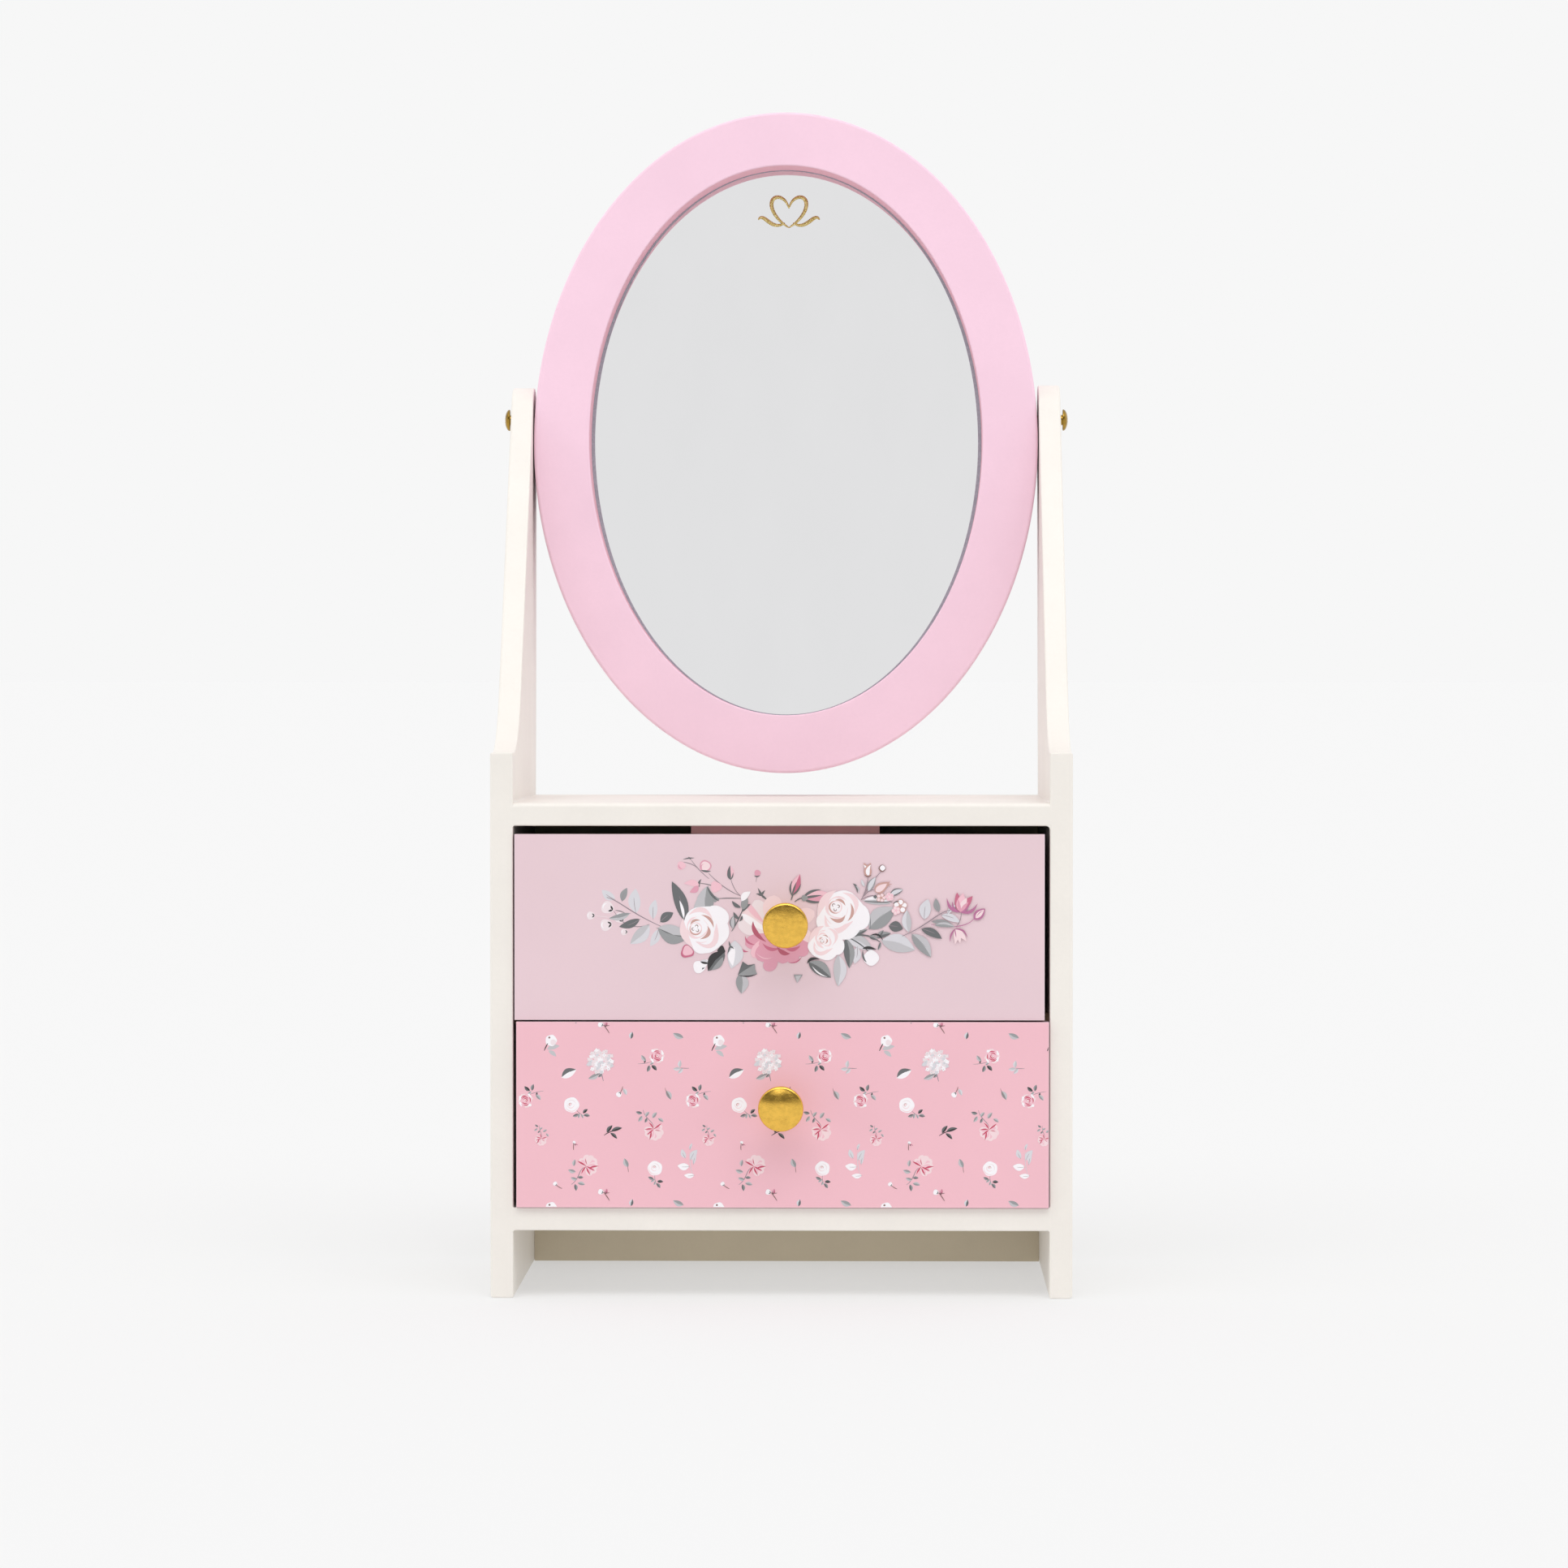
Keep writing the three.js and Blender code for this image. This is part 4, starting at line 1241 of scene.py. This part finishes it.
def draw_right_flowers(sheet):
    """The two right roses, with buds above and leaves below them."""
    sheet.line(0.3, "leaf_dark", (3.2, 7.4), (3.5, 8.4), (3.9, 9.4))
    sheet.bud((3.5, 8.9), (5.6, 14.6), ("rose", "pale_pink"), "leaf_dark", 0.42, 0.62)
    sheet.line(0.3, "leaf_dark", (4.2, 7.0), (5.6, 8.2), (7.4, 8.3))
    sheet.bud((6.6, 8.0), (14.4, 9.0), ("pink", "pale_pink"), "leaf_dark", 0.42, 0.66)
    sheet.disc(6.9, 8.0, 0.85, "leaf_mid", 0.1, 3)
    each(
        sheet.leaf,
        ((23.0, 7.3), (30.6, 6.6), 0.3, ("white", "leaf_light")),
        ((24.6, -0.4), (31.8, 5.4), 0.58, GREY), ((30.0, 0.4), (33.9, -0.4), 0.74, DEEP),
        ((18.5, -2.9), (25.6, -6.2), 0.44, ("leaf_light", "leaf_pale")),
        ((21.4, -5.4), (20.6, -10.0), 0.5, PALE), ((28.0, -3.6), (37.2, -6.2), 0.52, LIGHT),
        ((18.2, -3.0), (19.2, -11.2), 0.36, ("leaf_mid", "leaf_dark")),
        ((16.2, -7.6), (16.1, -16.2), 0.42, ("leaf_pale", "leaf_light")),
        ((8.0, -9.6), (14.2, -13.8), 0.5, DARK),
    )
    sheet.brush(0.8, "soot", (7.6, -10.0), (8.4, -8.0), (11.0, -8.8))
    sheet.brush(0.4, "white", (9.0, -10.6), (10.4, -12.9), (13.2, -13.6))
    sheet.area([(3.9, -13.0), (6.4, -13.0), (4.9, -15.3)], "leaf_mid")
    sheet.area([(4.4, -13.4), (6.0, -13.2), (4.9, -15.3)], "leaf_light")
    sheet.line(0.35, "leaf_dark", (18.0, -2.4), (22, -4.0), (24.4, -6.6))
    sheet.disc(25.2, -8.4, 2.1, "white", 0.04, 4)
    sheet.brush(0.85, "soot", (22.8, -5.9), (24.2, -5.2), (26.6, -6.1))
    sheet.brush(0.5, "leaf_dark", (22.9, -6.2), (22.7, -8.6), (24.0, -9.6))
    # A dark sprig with a black hook
    sheet.line(0.4, "leaf_dark", (19.6, -2.6), (24, -1.2), (27.6, -4.0))
    for base, tip, width in (
        ((20.2, -2.6), (24.2, -0.6), 0.3), ((24.6, -2.4), (26.8, -3.4), 0.5),
        ((26.6, -2.8), (30.6, -1.6), 0.36), ((27.0, -3.0), (28.6, -0.8), 0.4),
        ((27.8, -4.0), (27.0, -6.2), 0.3),
    ):
        sheet.leaf(base, tip, width, DARK, rib=0)
    sheet.brush(0.55, "soot", (25.0, -2.2), (27.4, -1.2), (28.4, -3.6))
    sheet.line(0.2, "leaf_dark", (24.8, -0.6), (25.2, 2.0), (24.4, 4.6))
    each(
        sheet.rose,
        (17.0, 3.3, 7.2, -53), (12.6, -4.4, 4.9, -60, "blush", "blush", "umber"),
        (12.7, -3.4, 2.6, 20, "blush", "tan", "leaf_dark"),
    )


def draw_upper_right_sprays(sheet):
    """Fine outlined buds and blossoms above the right rose."""
    for points in (
        ((22.4, 7.5), (25.0, 12.4), (28.0, 15.4)),
        ((22.4, 7.5), (24.2, 10.6), (24.3, 14.0)),
        ((22.4, 7.5), (24.6, 9.0), (26.4, 8.6)),
        ((23.0, 8.4), (25.0, 10.8), (26.2, 10.2)),
    ):
        sheet.line(0.24, "stem", *points)
    each(
        sheet.outlined_leaf,
        ((24.4, 9.9), (26.4, 13.8), 0.34, "leaf_pale", "leaf_mid"),
        ((23.4, 11.2), (22.5, 13.2), 0.3, "leaf_pale", "leaf_light"),
        ((30.3, 8.8), (33.9, 10.4), 0.36, "leaf_pale", "leaf_dark"),
    )
    sheet.disc(28.2, 16.2, 0.95, "umber", 0.05, 4)
    sheet.disc(28.3, 16.3, 0.72, "white", 0.05, 4)
    for lean in (-0.42, 0.42):
        sheet.blade((24.3, 13.8), (24.1 + lean * 2.4, 17.7), 0.5, "tan", lean * 0.3, 0.6)
        sheet.blade((24.3, 14.2), (24.1 + lean * 2.3, 17.2), 0.36, "white", lean * 0.3, 0.6)
    each(
        sheet.brush,
        (0.4, "umber", (23.3, 14.5), (24.3, 13.4), (25.3, 14.5)),
        (0.6, "leaf_dark", (20.1, 12.0), (21.4, 11.6), (21.4, 9.4)),
        (0.4, "leaf_light", (20.9, 11.4), (22.0, 10.8), (21.9, 9.2)),
    )
    sheet.blade((26.2, 9.8), (30.2, 12.4), 0.56, "tan", 0.0, 0.7)
    sheet.blade((26.4, 9.9), (29.6, 12.0), 0.44, "blush", 0.0, 0.7)
    for tip in ((30.4, 12.9), (31.0, 11.9), (30.4, 11.1)):
        sheet.brush(0.24, "tan", (29.2, 11.6), (29.8, 11.8), tip)
    sheet.floret(27.9, 8.1, 1.3)
    sheet.floret(30.2, 8.4, 1.2, "pale_pink", "blush", turn=30)
    sheet.disc(26.3, 8.4, 0.45, "leaf_dark", 0.2, 4)
    sheet.line(0.26, "leaf_dark", (23.4, 7.2), (27.6, 6.8), (31.0, 7.0))
    sheet.floret(33.2, 5.8, 1.9, "white", "tan", turn=15)
    sheet.floret(32.0, 4.6, 1.2, "blush", "pale_pink", turn=40)
    sheet.brush(0.3, "leaf_dark", (31.2, 6.4), (31.8, 7.2), (33.0, 7.2))


def draw_right_spray(sheet):
    """Leafy stems and plum blossoms, to the right of the roses."""
    each(
        sheet.leaf,
        ((39.8, 2.2), (40.8, 7.8), 0.56, PALE), ((35.5, -1.3), (35.0, 4.8), 0.42, LIGHT),
        ((44.4, 3.4), (49.6, 1.4), 0.36, PALE), ((46.0, 3.6), (48.4, 6.2), 0.3, PALE),
    )
    each(
        sheet.line,
        (0.28, "stem", (33.7, -2.4), (39.0, -0.4), (43, 3.2), (44.8, 4.6), (47.4, 4.9)),
        (0.22, "plum", (41.6, 0.8), (48.4, -0.6), (52.4, 0.6), (53.5, 2.7)),
        (0.2, "stem", (48.4, 0.2), (49.8, 1.4), (49.9, 4.0)),
    )
    each(
        sheet.leaf,
        ((43.8, 4.2), (42.9, 8.0), 0.44, MID), ((41.8, 1.6), (47.6, 0.6), 0.24, MID),
        ((42.6, 0.6), (48.2, 0.2), 0.24, GREY), ((38.9, -0.4), (44.6, -3.1), 0.36, DEEP),
        ((36.3, -1.8), (41.6, -8.2), 0.42, GREY),
    )
    # A half-open blossom, a hanging one and a bud
    for tip, width, tone in (
        ((48.7, 9.6), 0.36, "rose"), ((53.0, 8.6), 0.38, "rose"), ((50.4, 9.4), 0.5, "pale_pink"),
        ((51.4, 8.2), 0.4, "blush"), ((49.0, 7.8), 0.24, "pink"), ((51.9, 7.0), 0.26, "pink"),
    ):
        sheet.blade((49.7, 4.2), tip, width, tone, 0.03, 0.8)
    for tip, bend in (
        ((45.9, 8.1), 0.2), ((47.4, 7.2), 0.2), ((54.4, 6.6), -0.2), ((52.0, 6.4), -0.15),
    ):
        sheet.blade((49.6, 4.1), tip, 0.16, "plum", bend, 0.8)
    for tip in ((51.3, -3.8), (49.6, -4.4), (48.2, -4.6)):
        sheet.blade((48.4, -0.6), tip, 0.36, "blush", 0.05, 0.7)
    for tip, bend in (((46.8, -4.0), -0.1), ((48.5, -2.8), 0.0), ((51.6, -2.8), 0.2)):
        sheet.blade((48.1, -0.4), tip, 0.12, "plum", bend, 0.8)
    sheet.blade((53.4, 2.2), (56.4, 5.2), 0.6, "plum", 0.0, 0.8)
    sheet.blade((53.8, 2.6), (56.1, 4.9), 0.42, "blush", 0.0, 0.8)
    sheet.brush(0.2, "plum", (54.0, 2.9), (54.8, 4.2), (55.8, 4.6))


def draw_garland(sheet):
    """A garland of roses round the knob, with leafy sprays to both sides."""
    draw_left_spray(sheet)
    draw_bud_sprigs(sheet)
    draw_peony(sheet)
    draw_left_flowers(sheet)
    draw_right_flowers(sheet)
    draw_upper_right_sprays(sheet)
    draw_right_spray(sheet)


TILE = 46.0  # both sides of one repeat of the lower drawer's pattern


def small_leaves(sheet, leaves, stalk, tones=(BLACK, GREY, DARK)):
    """Little leaves given as (base, tip), and the stalk that they spring from."""
    sheet.line(0.07, "stem", *stalk)
    for k, (base, tip) in enumerate(leaves):
        sheet.leaf(base, tip, 0.5, tones[k % len(tones)], rib=0.02)


def pink_rose(sheet, x, y, radius, turn):
    """A frilled pink rose with a crimson heart, over leaves at its lower left."""
    with sheet.at(x, y, turn, radius):
        small_leaves(
            sheet,
            (
                ((-1.7, -1.0), (-1.5, -0.5)), ((-1.5, -0.7), (-2.1, 0.1)), ((-1.0, -1.3), (-1.3, -2.2)),
                ((-0.7, -1.3), (0.0, -2.0)), ((-0.9, -1.2), (-0.4, -0.9)),
            ),
            ((-2.6, -1.1), (-1.4, -1.1), (-0.4, -0.7)),
        )
        for k in range(11):
            angle = 2 * math.pi * k / 11
            tone = ("blush", "white", "pale_pink")[k % 3]
            sheet.disc(0.7 * math.cos(angle), 0.7 * math.sin(angle), 0.36, tone, 0.16, 4, k, corners=14)
        sheet.disc(0, 0, 0.74, "pale_pink", 0.08, 7)
        for reach, start, sweep in (
            (0.72, 150, 70), (0.7, 60, 70), (0.66, 250, 80),
            (0.48, 190, 150), (0.46, 20, 110), (0.26, 90, 260),
        ):
            sheet.crescent(0.06, -0.02, reach, start, sweep, 0.15, "crimson")
        sheet.disc(0.06, -0.02, 0.17, "blush", corners=12)
        sheet.crescent(0.06, -0.02, 0.08, 0, 250, 0.06, "crimson")


def crimson_peony(sheet, x, y, radius, turn):
    """A pale peony streaked crimson from its stalk, under small leaves."""
    with sheet.at(x, y, turn, radius):
        for tip in (
            (1.05, -0.5), (0.75, -0.95), (0.25, -1.2), (-0.35, -1.1),
            (-0.85, -0.7), (-1.0, -0.1), (0.95, 0.3),
        ):
            sheet.petal((0.0, 0.1), tip, 0.6, "blush")
            sheet.petal((0.0, 0.0), (tip[0] * 0.78, tip[1] * 0.78), 0.5, "pale_pink")
        sheet.petal((0.1, 0.0), (0.8, -0.7), 0.6, "blush")
        for start, tip, width in (
            ((0.0, 0.0), (0.82, 0.62), 0.17), ((0.02, 0.0), (-0.5, 0.74), 0.14),
            ((-0.05, 0.05), (-0.95, -0.02), 0.15), ((0.0, 0.0), (-0.72, -0.6), 0.15),
            ((-0.25, -0.2), (-0.42, -1.12), 0.17), ((0.1, -0.1), (0.7, -0.2), 0.08),
        ):
            middle = ((start[0] + tip[0]) / 2 + 0.1, (start[1] + tip[1]) / 2 + 0.06)
            sheet.brush(width, "crimson", start, middle, tip)
        small_leaves(
            sheet,
            (
                ((-1.2, 1.7), (-1.85, 1.85)), ((-1.2, 1.4), (-1.6, 0.82)),
                ((-0.85, 1.35), (-0.45, 1.85)), ((-0.7, 1.2), (-0.9, 0.7)),
                ((-0.1, 1.2), (0.35, 1.8)), ((0.5, 1.15), (1.05, 0.8)),
            ),
            ((-1.1, 2.05), (-0.9, 1.1), (-0.1, 0.9), (0.0, 0.3)),
            (DARK, GREY, GREY),
        )


def white_rose(sheet, x, y, radius, turn):
    """A white rose over small leaves at its lower right."""
    with sheet.at(x, y, turn, radius):
        small_leaves(
            sheet,
            (
                ((0.9, -1.2), (0.15, -1.5)), ((1.0, -1.1), (0.9, -1.75)), ((1.5, -1.1), (2.1, -0.55)),
                ((1.6, -1.3), (2.4, -1.45)), ((1.3, -1.2), (1.5, -1.75)),
            ),
            ((0.6, -0.6), (1.0, -1.3), (2.2, -1.6)),
            (DARK, GREY, BLACK),
        )
        sheet.disc(0, 0, 1.0, "white", 0.03, 5)
        each(
            sheet.crescent,
            (0, 0, 0.84, 200, 150, 0.12, "blush"), (-0.04, 0, 0.62, 10, 140, 0.1, "veil"),
            (-0.1, 0, 0.42, 150, 230, 0.1, "blush"), (-0.14, 0.03, 0.2, 0, 280, 0.1, "tan"),
        )
        sheet.disc(-0.14, 0.03, 0.1, "pale_pink", corners=10)


def draw_tile(sheet):
    """The lower drawer's leftmost repeat of its pattern, measured from the drawer's middle."""
    # A white bud with two pale leaves
    sheet.leaf((-64.6, 18.0), (-61.2, 18.9), 0.4, ("leaf_light", None), rib=0)
    sheet.leaf((-64.2, 17.6), (-62.1, 16.0), 0.42, ("leaf_light", None), rib=0)
    each(
        sheet.disc,
        (-63.5, 20.4, 1.55, "white", 0.05, 5), (-62.9, 19.9, 0.8, "veil", 0.05, 3),
        (-64.0, 21.2, 0.28, "umber"),
    )
    sheet.line(0.32, "soot", (-64.4, 19.6), (-65.0, 18.6), (-65.4, 17.6))
    for plant, *place in (
        (Print.hydrangea, -50.0, 14.7, 3.5),
        (pink_rose, -34.5, 16.2, 2.0, 0), (pink_rose, -70.5, 3.9, 1.95, 185),
        (crimson_peony, -35.4, -4.0, 2.6, 0), (crimson_peony, -66.3, -6.6, 1.6, -22),
        (crimson_peony, -53.8, -14.2, 2.8, 112),
        (white_rose, -57.9, 2.7, 2.1, 0), (white_rose, -35.0, -14.7, 2.0, -44),
    ):
        sheet.start_on_paper()
        plant(sheet, *place)
    sheet.start_on_paper()
    # Loose leaves
    each(
        sheet.leaf,
        ((-60.6, 10.2), (-56.6, 12.4), 0.56, ("leaf_dark", "white")),
        ((-28.0, 12.8), (-30.0, 12.6), 0.5, LIGHT), ((-28.2, 13.0), (-28.0, 15.0), 0.5, LIGHT),
        ((-27.4, 12.8), (-28.6, 11.4), 0.5, LIGHT), ((-31.9, 6.6), (-30.6, 4.2), 0.5, GREY),
        ((-41.6, 20.9), (-41.2, 22.8), 0.6, ("leaf_pale", "leaf_dark")),
        ((-27.2, 21.2), (-30.0, 22.4), 0.5, GREY), ((-42.4, -14.4), (-43.4, -12.0), 0.52, GREY),
        ((-43.7, 7.2), (-42.8, 5.4), 0.5, LIGHT), ((-25.4, -9.6), (-24.8, -7.8), 0.36, PALE),
        ((-26.6, -11.9), (-27.6, -9.4), 0.5, PALE), ((-25.2, -12.4), (-23.4, -9.6), 0.52, PALE),
        ((-24.4, -13.6), (-23.6, -10.8), 0.3, PALE),
        ((-25.6, -14.2), (-28.8, -14.0), 0.62, ("white", None)),
        ((-24.2, -16.6), (-27.0, -16.6), 0.5, ("white", None)),
        rib=0.1,
    )
    each(
        sheet.line,
        (0.14, "leaf_pale", (-24.6, -16.4), (-25.6, -14), (-25.4, -10)),
        (0.14, "stem", (-28.0, 12.9), (-27.0, 12.8), (-25.6, 12.8)),
        (0.14, "umber", (-30.6, 4.2), (-32, 6.2), (-32.2, 7.4)),
        (0.14, "umber", (-42.5, -14.2), (-42.3, -15.2), (-42.3, -15.8)),
    )
    # A dark sprig of three leaves
    sheet.line(0.22, "soot", (-49.0, -5.7), (-47.6, -4.6), (-46, -4.4))
    each(
        sheet.leaf,
        ((-48.2, -4.9), (-46.7, -2.9), 0.42, BLACK), ((-47.0, -4.5), (-44.0, -3.6), 0.34, BLACK),
        ((-47.2, -5.0), (-45.4, -6.6), 0.36, BLACK),
        rib=0,
    )
    # Small buds on stalks
    for x, y, angle, radius in (
        (-44.9, 5.6, 50, 0.75), (-57.2, -7.6, 250, 0.42),
        (-62.4, -19.0, -50, 0.6), (-49.9, -21.2, -20, 0.75),
    ):
        sheet.soft_bud(x, y, radius, angle, "white", "soot")
        with sheet.at(x, y, angle):
            sheet.line(0.2, "umber", (radius * 0.8, 0), (radius + 1.0, 0.2), (radius + 1.6, 0.6))
    sheet.bud((-48.6, -21.8), (-48.2, -20.3), ("rose", "pink"), "soot")
    sheet.bud((-57.1, -8.2), (-56.1, -8.4), ("pale_pink", "rose"), "soot")
    sheet.line(0.24, "umber", (-47.5, -23.6), (-48.2, -22.4), (-48.9, -21.6))


def draw_scatter(sheet):
    """Repeats the tile over the lower drawer."""
    for column in range(4):
        for row in (-1, 0, 1):
            with sheet.at(column * TILE, row * TILE):
                sheet.start_on_paper()
                draw_tile(sheet)


def clip_to(mesh, low, high):
    """Cuts away the print past the paper's edges."""
    inset = 0.15
    form = bmesh.new()
    form.from_mesh(mesh)
    planes = (
        ((low.x + inset, 0, 0), (-1, 0, 0)),
        ((high.x - inset, 0, 0), (1, 0, 0)),
        ((0, 0, low.z + inset), (0, 0, -1)),
        ((0, 0, high.z - inset), (0, 0, 1)),
    )
    for point, normal in planes:
        everything = [*form.verts, *form.edges, *form.faces]
        bmesh.ops.bisect_plane(
            form, geom=everything, plane_co=Vector(point) * MM, plane_no=normal, clear_outer=True
        )
    form.to_mesh(mesh)
    form.free()


def make_print(drawer, draw):
    """Prints a drawn pattern on a drawer's paper."""
    low, high = corners(f"{drawer}_print_paper")
    middle = (low + high) / 2
    sheet = Print()
    draw(sheet)
    points = [(middle.x + x, low.y - height, middle.z + y) for x, y, height in sheet.points]
    materials = [ink(f"{drawer}_{name}", colour) for name, colour in INKS.items()]
    mesh = mesh_from(f"{drawer}_print", points, sheet.faces, materials, sheet.indices, smooth=False)
    clip_to(mesh, low, high)
    slot = "pale_print" if drawer == "upper" else "rose_print"
    piece(f"{drawer}_floral_print", mesh, f"{drawer}_drawer", slot)


# ---- Drawers ----


def make_drawers():
    for drawer in DRAWERS:
        dress(f"{drawer}_drawer_front", "drawer", 0.3)
        dress(f"{drawer}_print_paper", "pale_paper" if drawer == "upper" else "rose_paper", 0.08)
        for part in ("side_left", "side_right", "back", "floor"):
            dress(f"{drawer}_drawer_{part}", "drawer", 0.35)
        dress(f"{drawer}_drawer_lining", "flock", 0.3)
        make_knob(drawer)
    make_print("upper", draw_garland)
    make_print("lower", draw_scatter)


# ---- Studio ----

BACKDROP = 0.93  # brightness of the floor and of everything near the horizon
# Azimuth from straight in front (+ is to the right), elevation, strength and angular width, with
# the angles in degrees.
SOFT_LIGHTS = ((-8, 46, 0.17, 30), (38, 44, 0.18, 24), (16, 60, 0.10, 7))
FILL_LIGHTS = ((-38, 44, 0.15, 24), (-68, 14, 0.24, 30), (68, 14, 0.24, 30))  # not reflected
# Brightness by the sine of the elevation, on the camera's side: dim where the metal and the glass
# look, and bright high up.
SKY_STOPS = ((0.0, BACKDROP), (0.135, BACKDROP), (0.24, 0.14), (0.5, 0.2), (0.72, 1.5), (1.0, 3.4))


def flat_grey(brightness):
    return (brightness, brightness, brightness, 1)


def make_sky():
    """A surround that is pale near the horizon, and all the way up behind and beside the object."""
    world = bpy.data.worlds.new("studio")
    world.use_nodes = True
    tree = world.node_tree
    direction = tree.nodes.new("ShaderNodeTexCoord").outputs["Generated"]
    axes = tree.nodes.new("ShaderNodeSeparateXYZ")
    tree.links.new(direction, axes.inputs[0])
    sky = tree.nodes.new("ShaderNodeValToRGB")
    tree.links.new(axes.outputs["Z"], sky.inputs[0])
    stops = sky.color_ramp.elements
    for position, brightness in SKY_STOPS[1:-1]:
        stops.new(position).color = flat_grey(brightness)
    stops[0].color = flat_grey(SKY_STOPS[0][1])
    stops[-1].color = flat_grey(SKY_STOPS[-1][1])
    behind = tree.nodes.new("ShaderNodeMapRange")
    behind.inputs["From Min"].default_value = -0.6
    behind.inputs["From Max"].default_value = -0.1
    tree.links.new(axes.outputs["Y"], behind.inputs["Value"])
    blend = tree.nodes.new("ShaderNodeMix")
    blend.data_type = "RGBA"
    tree.links.new(behind.outputs["Result"], blend.inputs["Factor"])
    tree.links.new(sky.outputs[0], blend.inputs[6])
    blend.inputs[7].default_value = flat_grey(BACKDROP)
    tree.links.new(blend.outputs[2], tree.nodes["Background"].inputs["Color"])
    bpy.context.scene.world = world


def make_soft_light(azimuth, elevation, strength, spread, glints):
    """A lamp far away, which metal and glass reflect where glints is true."""
    data = bpy.data.lights.new("softbox", "SUN")
    data.energy = strength
    data.angle = math.radians(spread)
    light = bpy.data.objects.new("softbox", data)
    bpy.context.collection.objects.link(light)
    light.rotation_euler = (math.radians(90 - elevation), 0, math.radians(azimuth))
    light.visible_glossy = glints


FLOOR_WHITE = 0.42
FLOOR_GLOW = 0.445  # even light of the floor's own, which keeps the shadows on it faint
FLOOR_REACH = 60000
FLOOR_DROP = 0.05  # keeps it clear of the feet


def floor_material():
    white = flat_grey(FLOOR_WHITE)
    surface = Surface("studio_floor", shade(white, 0.995), Roughness=1.0, Specular_IOR_Level=0.0)
    surface.set("Emission Color", flat_grey(1))
    surface.set("Emission Strength", FLOOR_GLOW)
    speckle = surface.noise(2.0)
    surface.cover(speckle, shade(white, 1.005))
    surface.bump(speckle, 0.02)
    return surface.material


def make_studio():
    """A wide white floor under soft lamps, in an even pale surround."""
    bpy.context.scene.view_settings.view_transform = "Standard"
    make_sky()
    for light in SOFT_LIGHTS:
        make_soft_light(*light, glints=True)
    for light in FILL_LIGHTS:
        make_soft_light(*light, glints=False)
    reach = FLOOR_REACH
    outline = [(-reach, -reach, 0), (reach, -reach, 0), (reach, reach, 0), (-reach, reach, 0)]
    mesh = mesh_from("floor", outline, [(0, 1, 2, 3)], [floor_material()], smooth=False)
    floor = bpy.data.objects.new("floor", mesh)
    bpy.context.collection.objects.link(floor)
    floor.location.z = -FLOOR_DROP * MM


make_camera()
make_studio()
make_cabinet()
make_mirror_frame()
make_mirror_glass()
dress("mirror_backing", "hardboard", 0.3)
make_motif()
make_pivot_screws()
make_drawers()
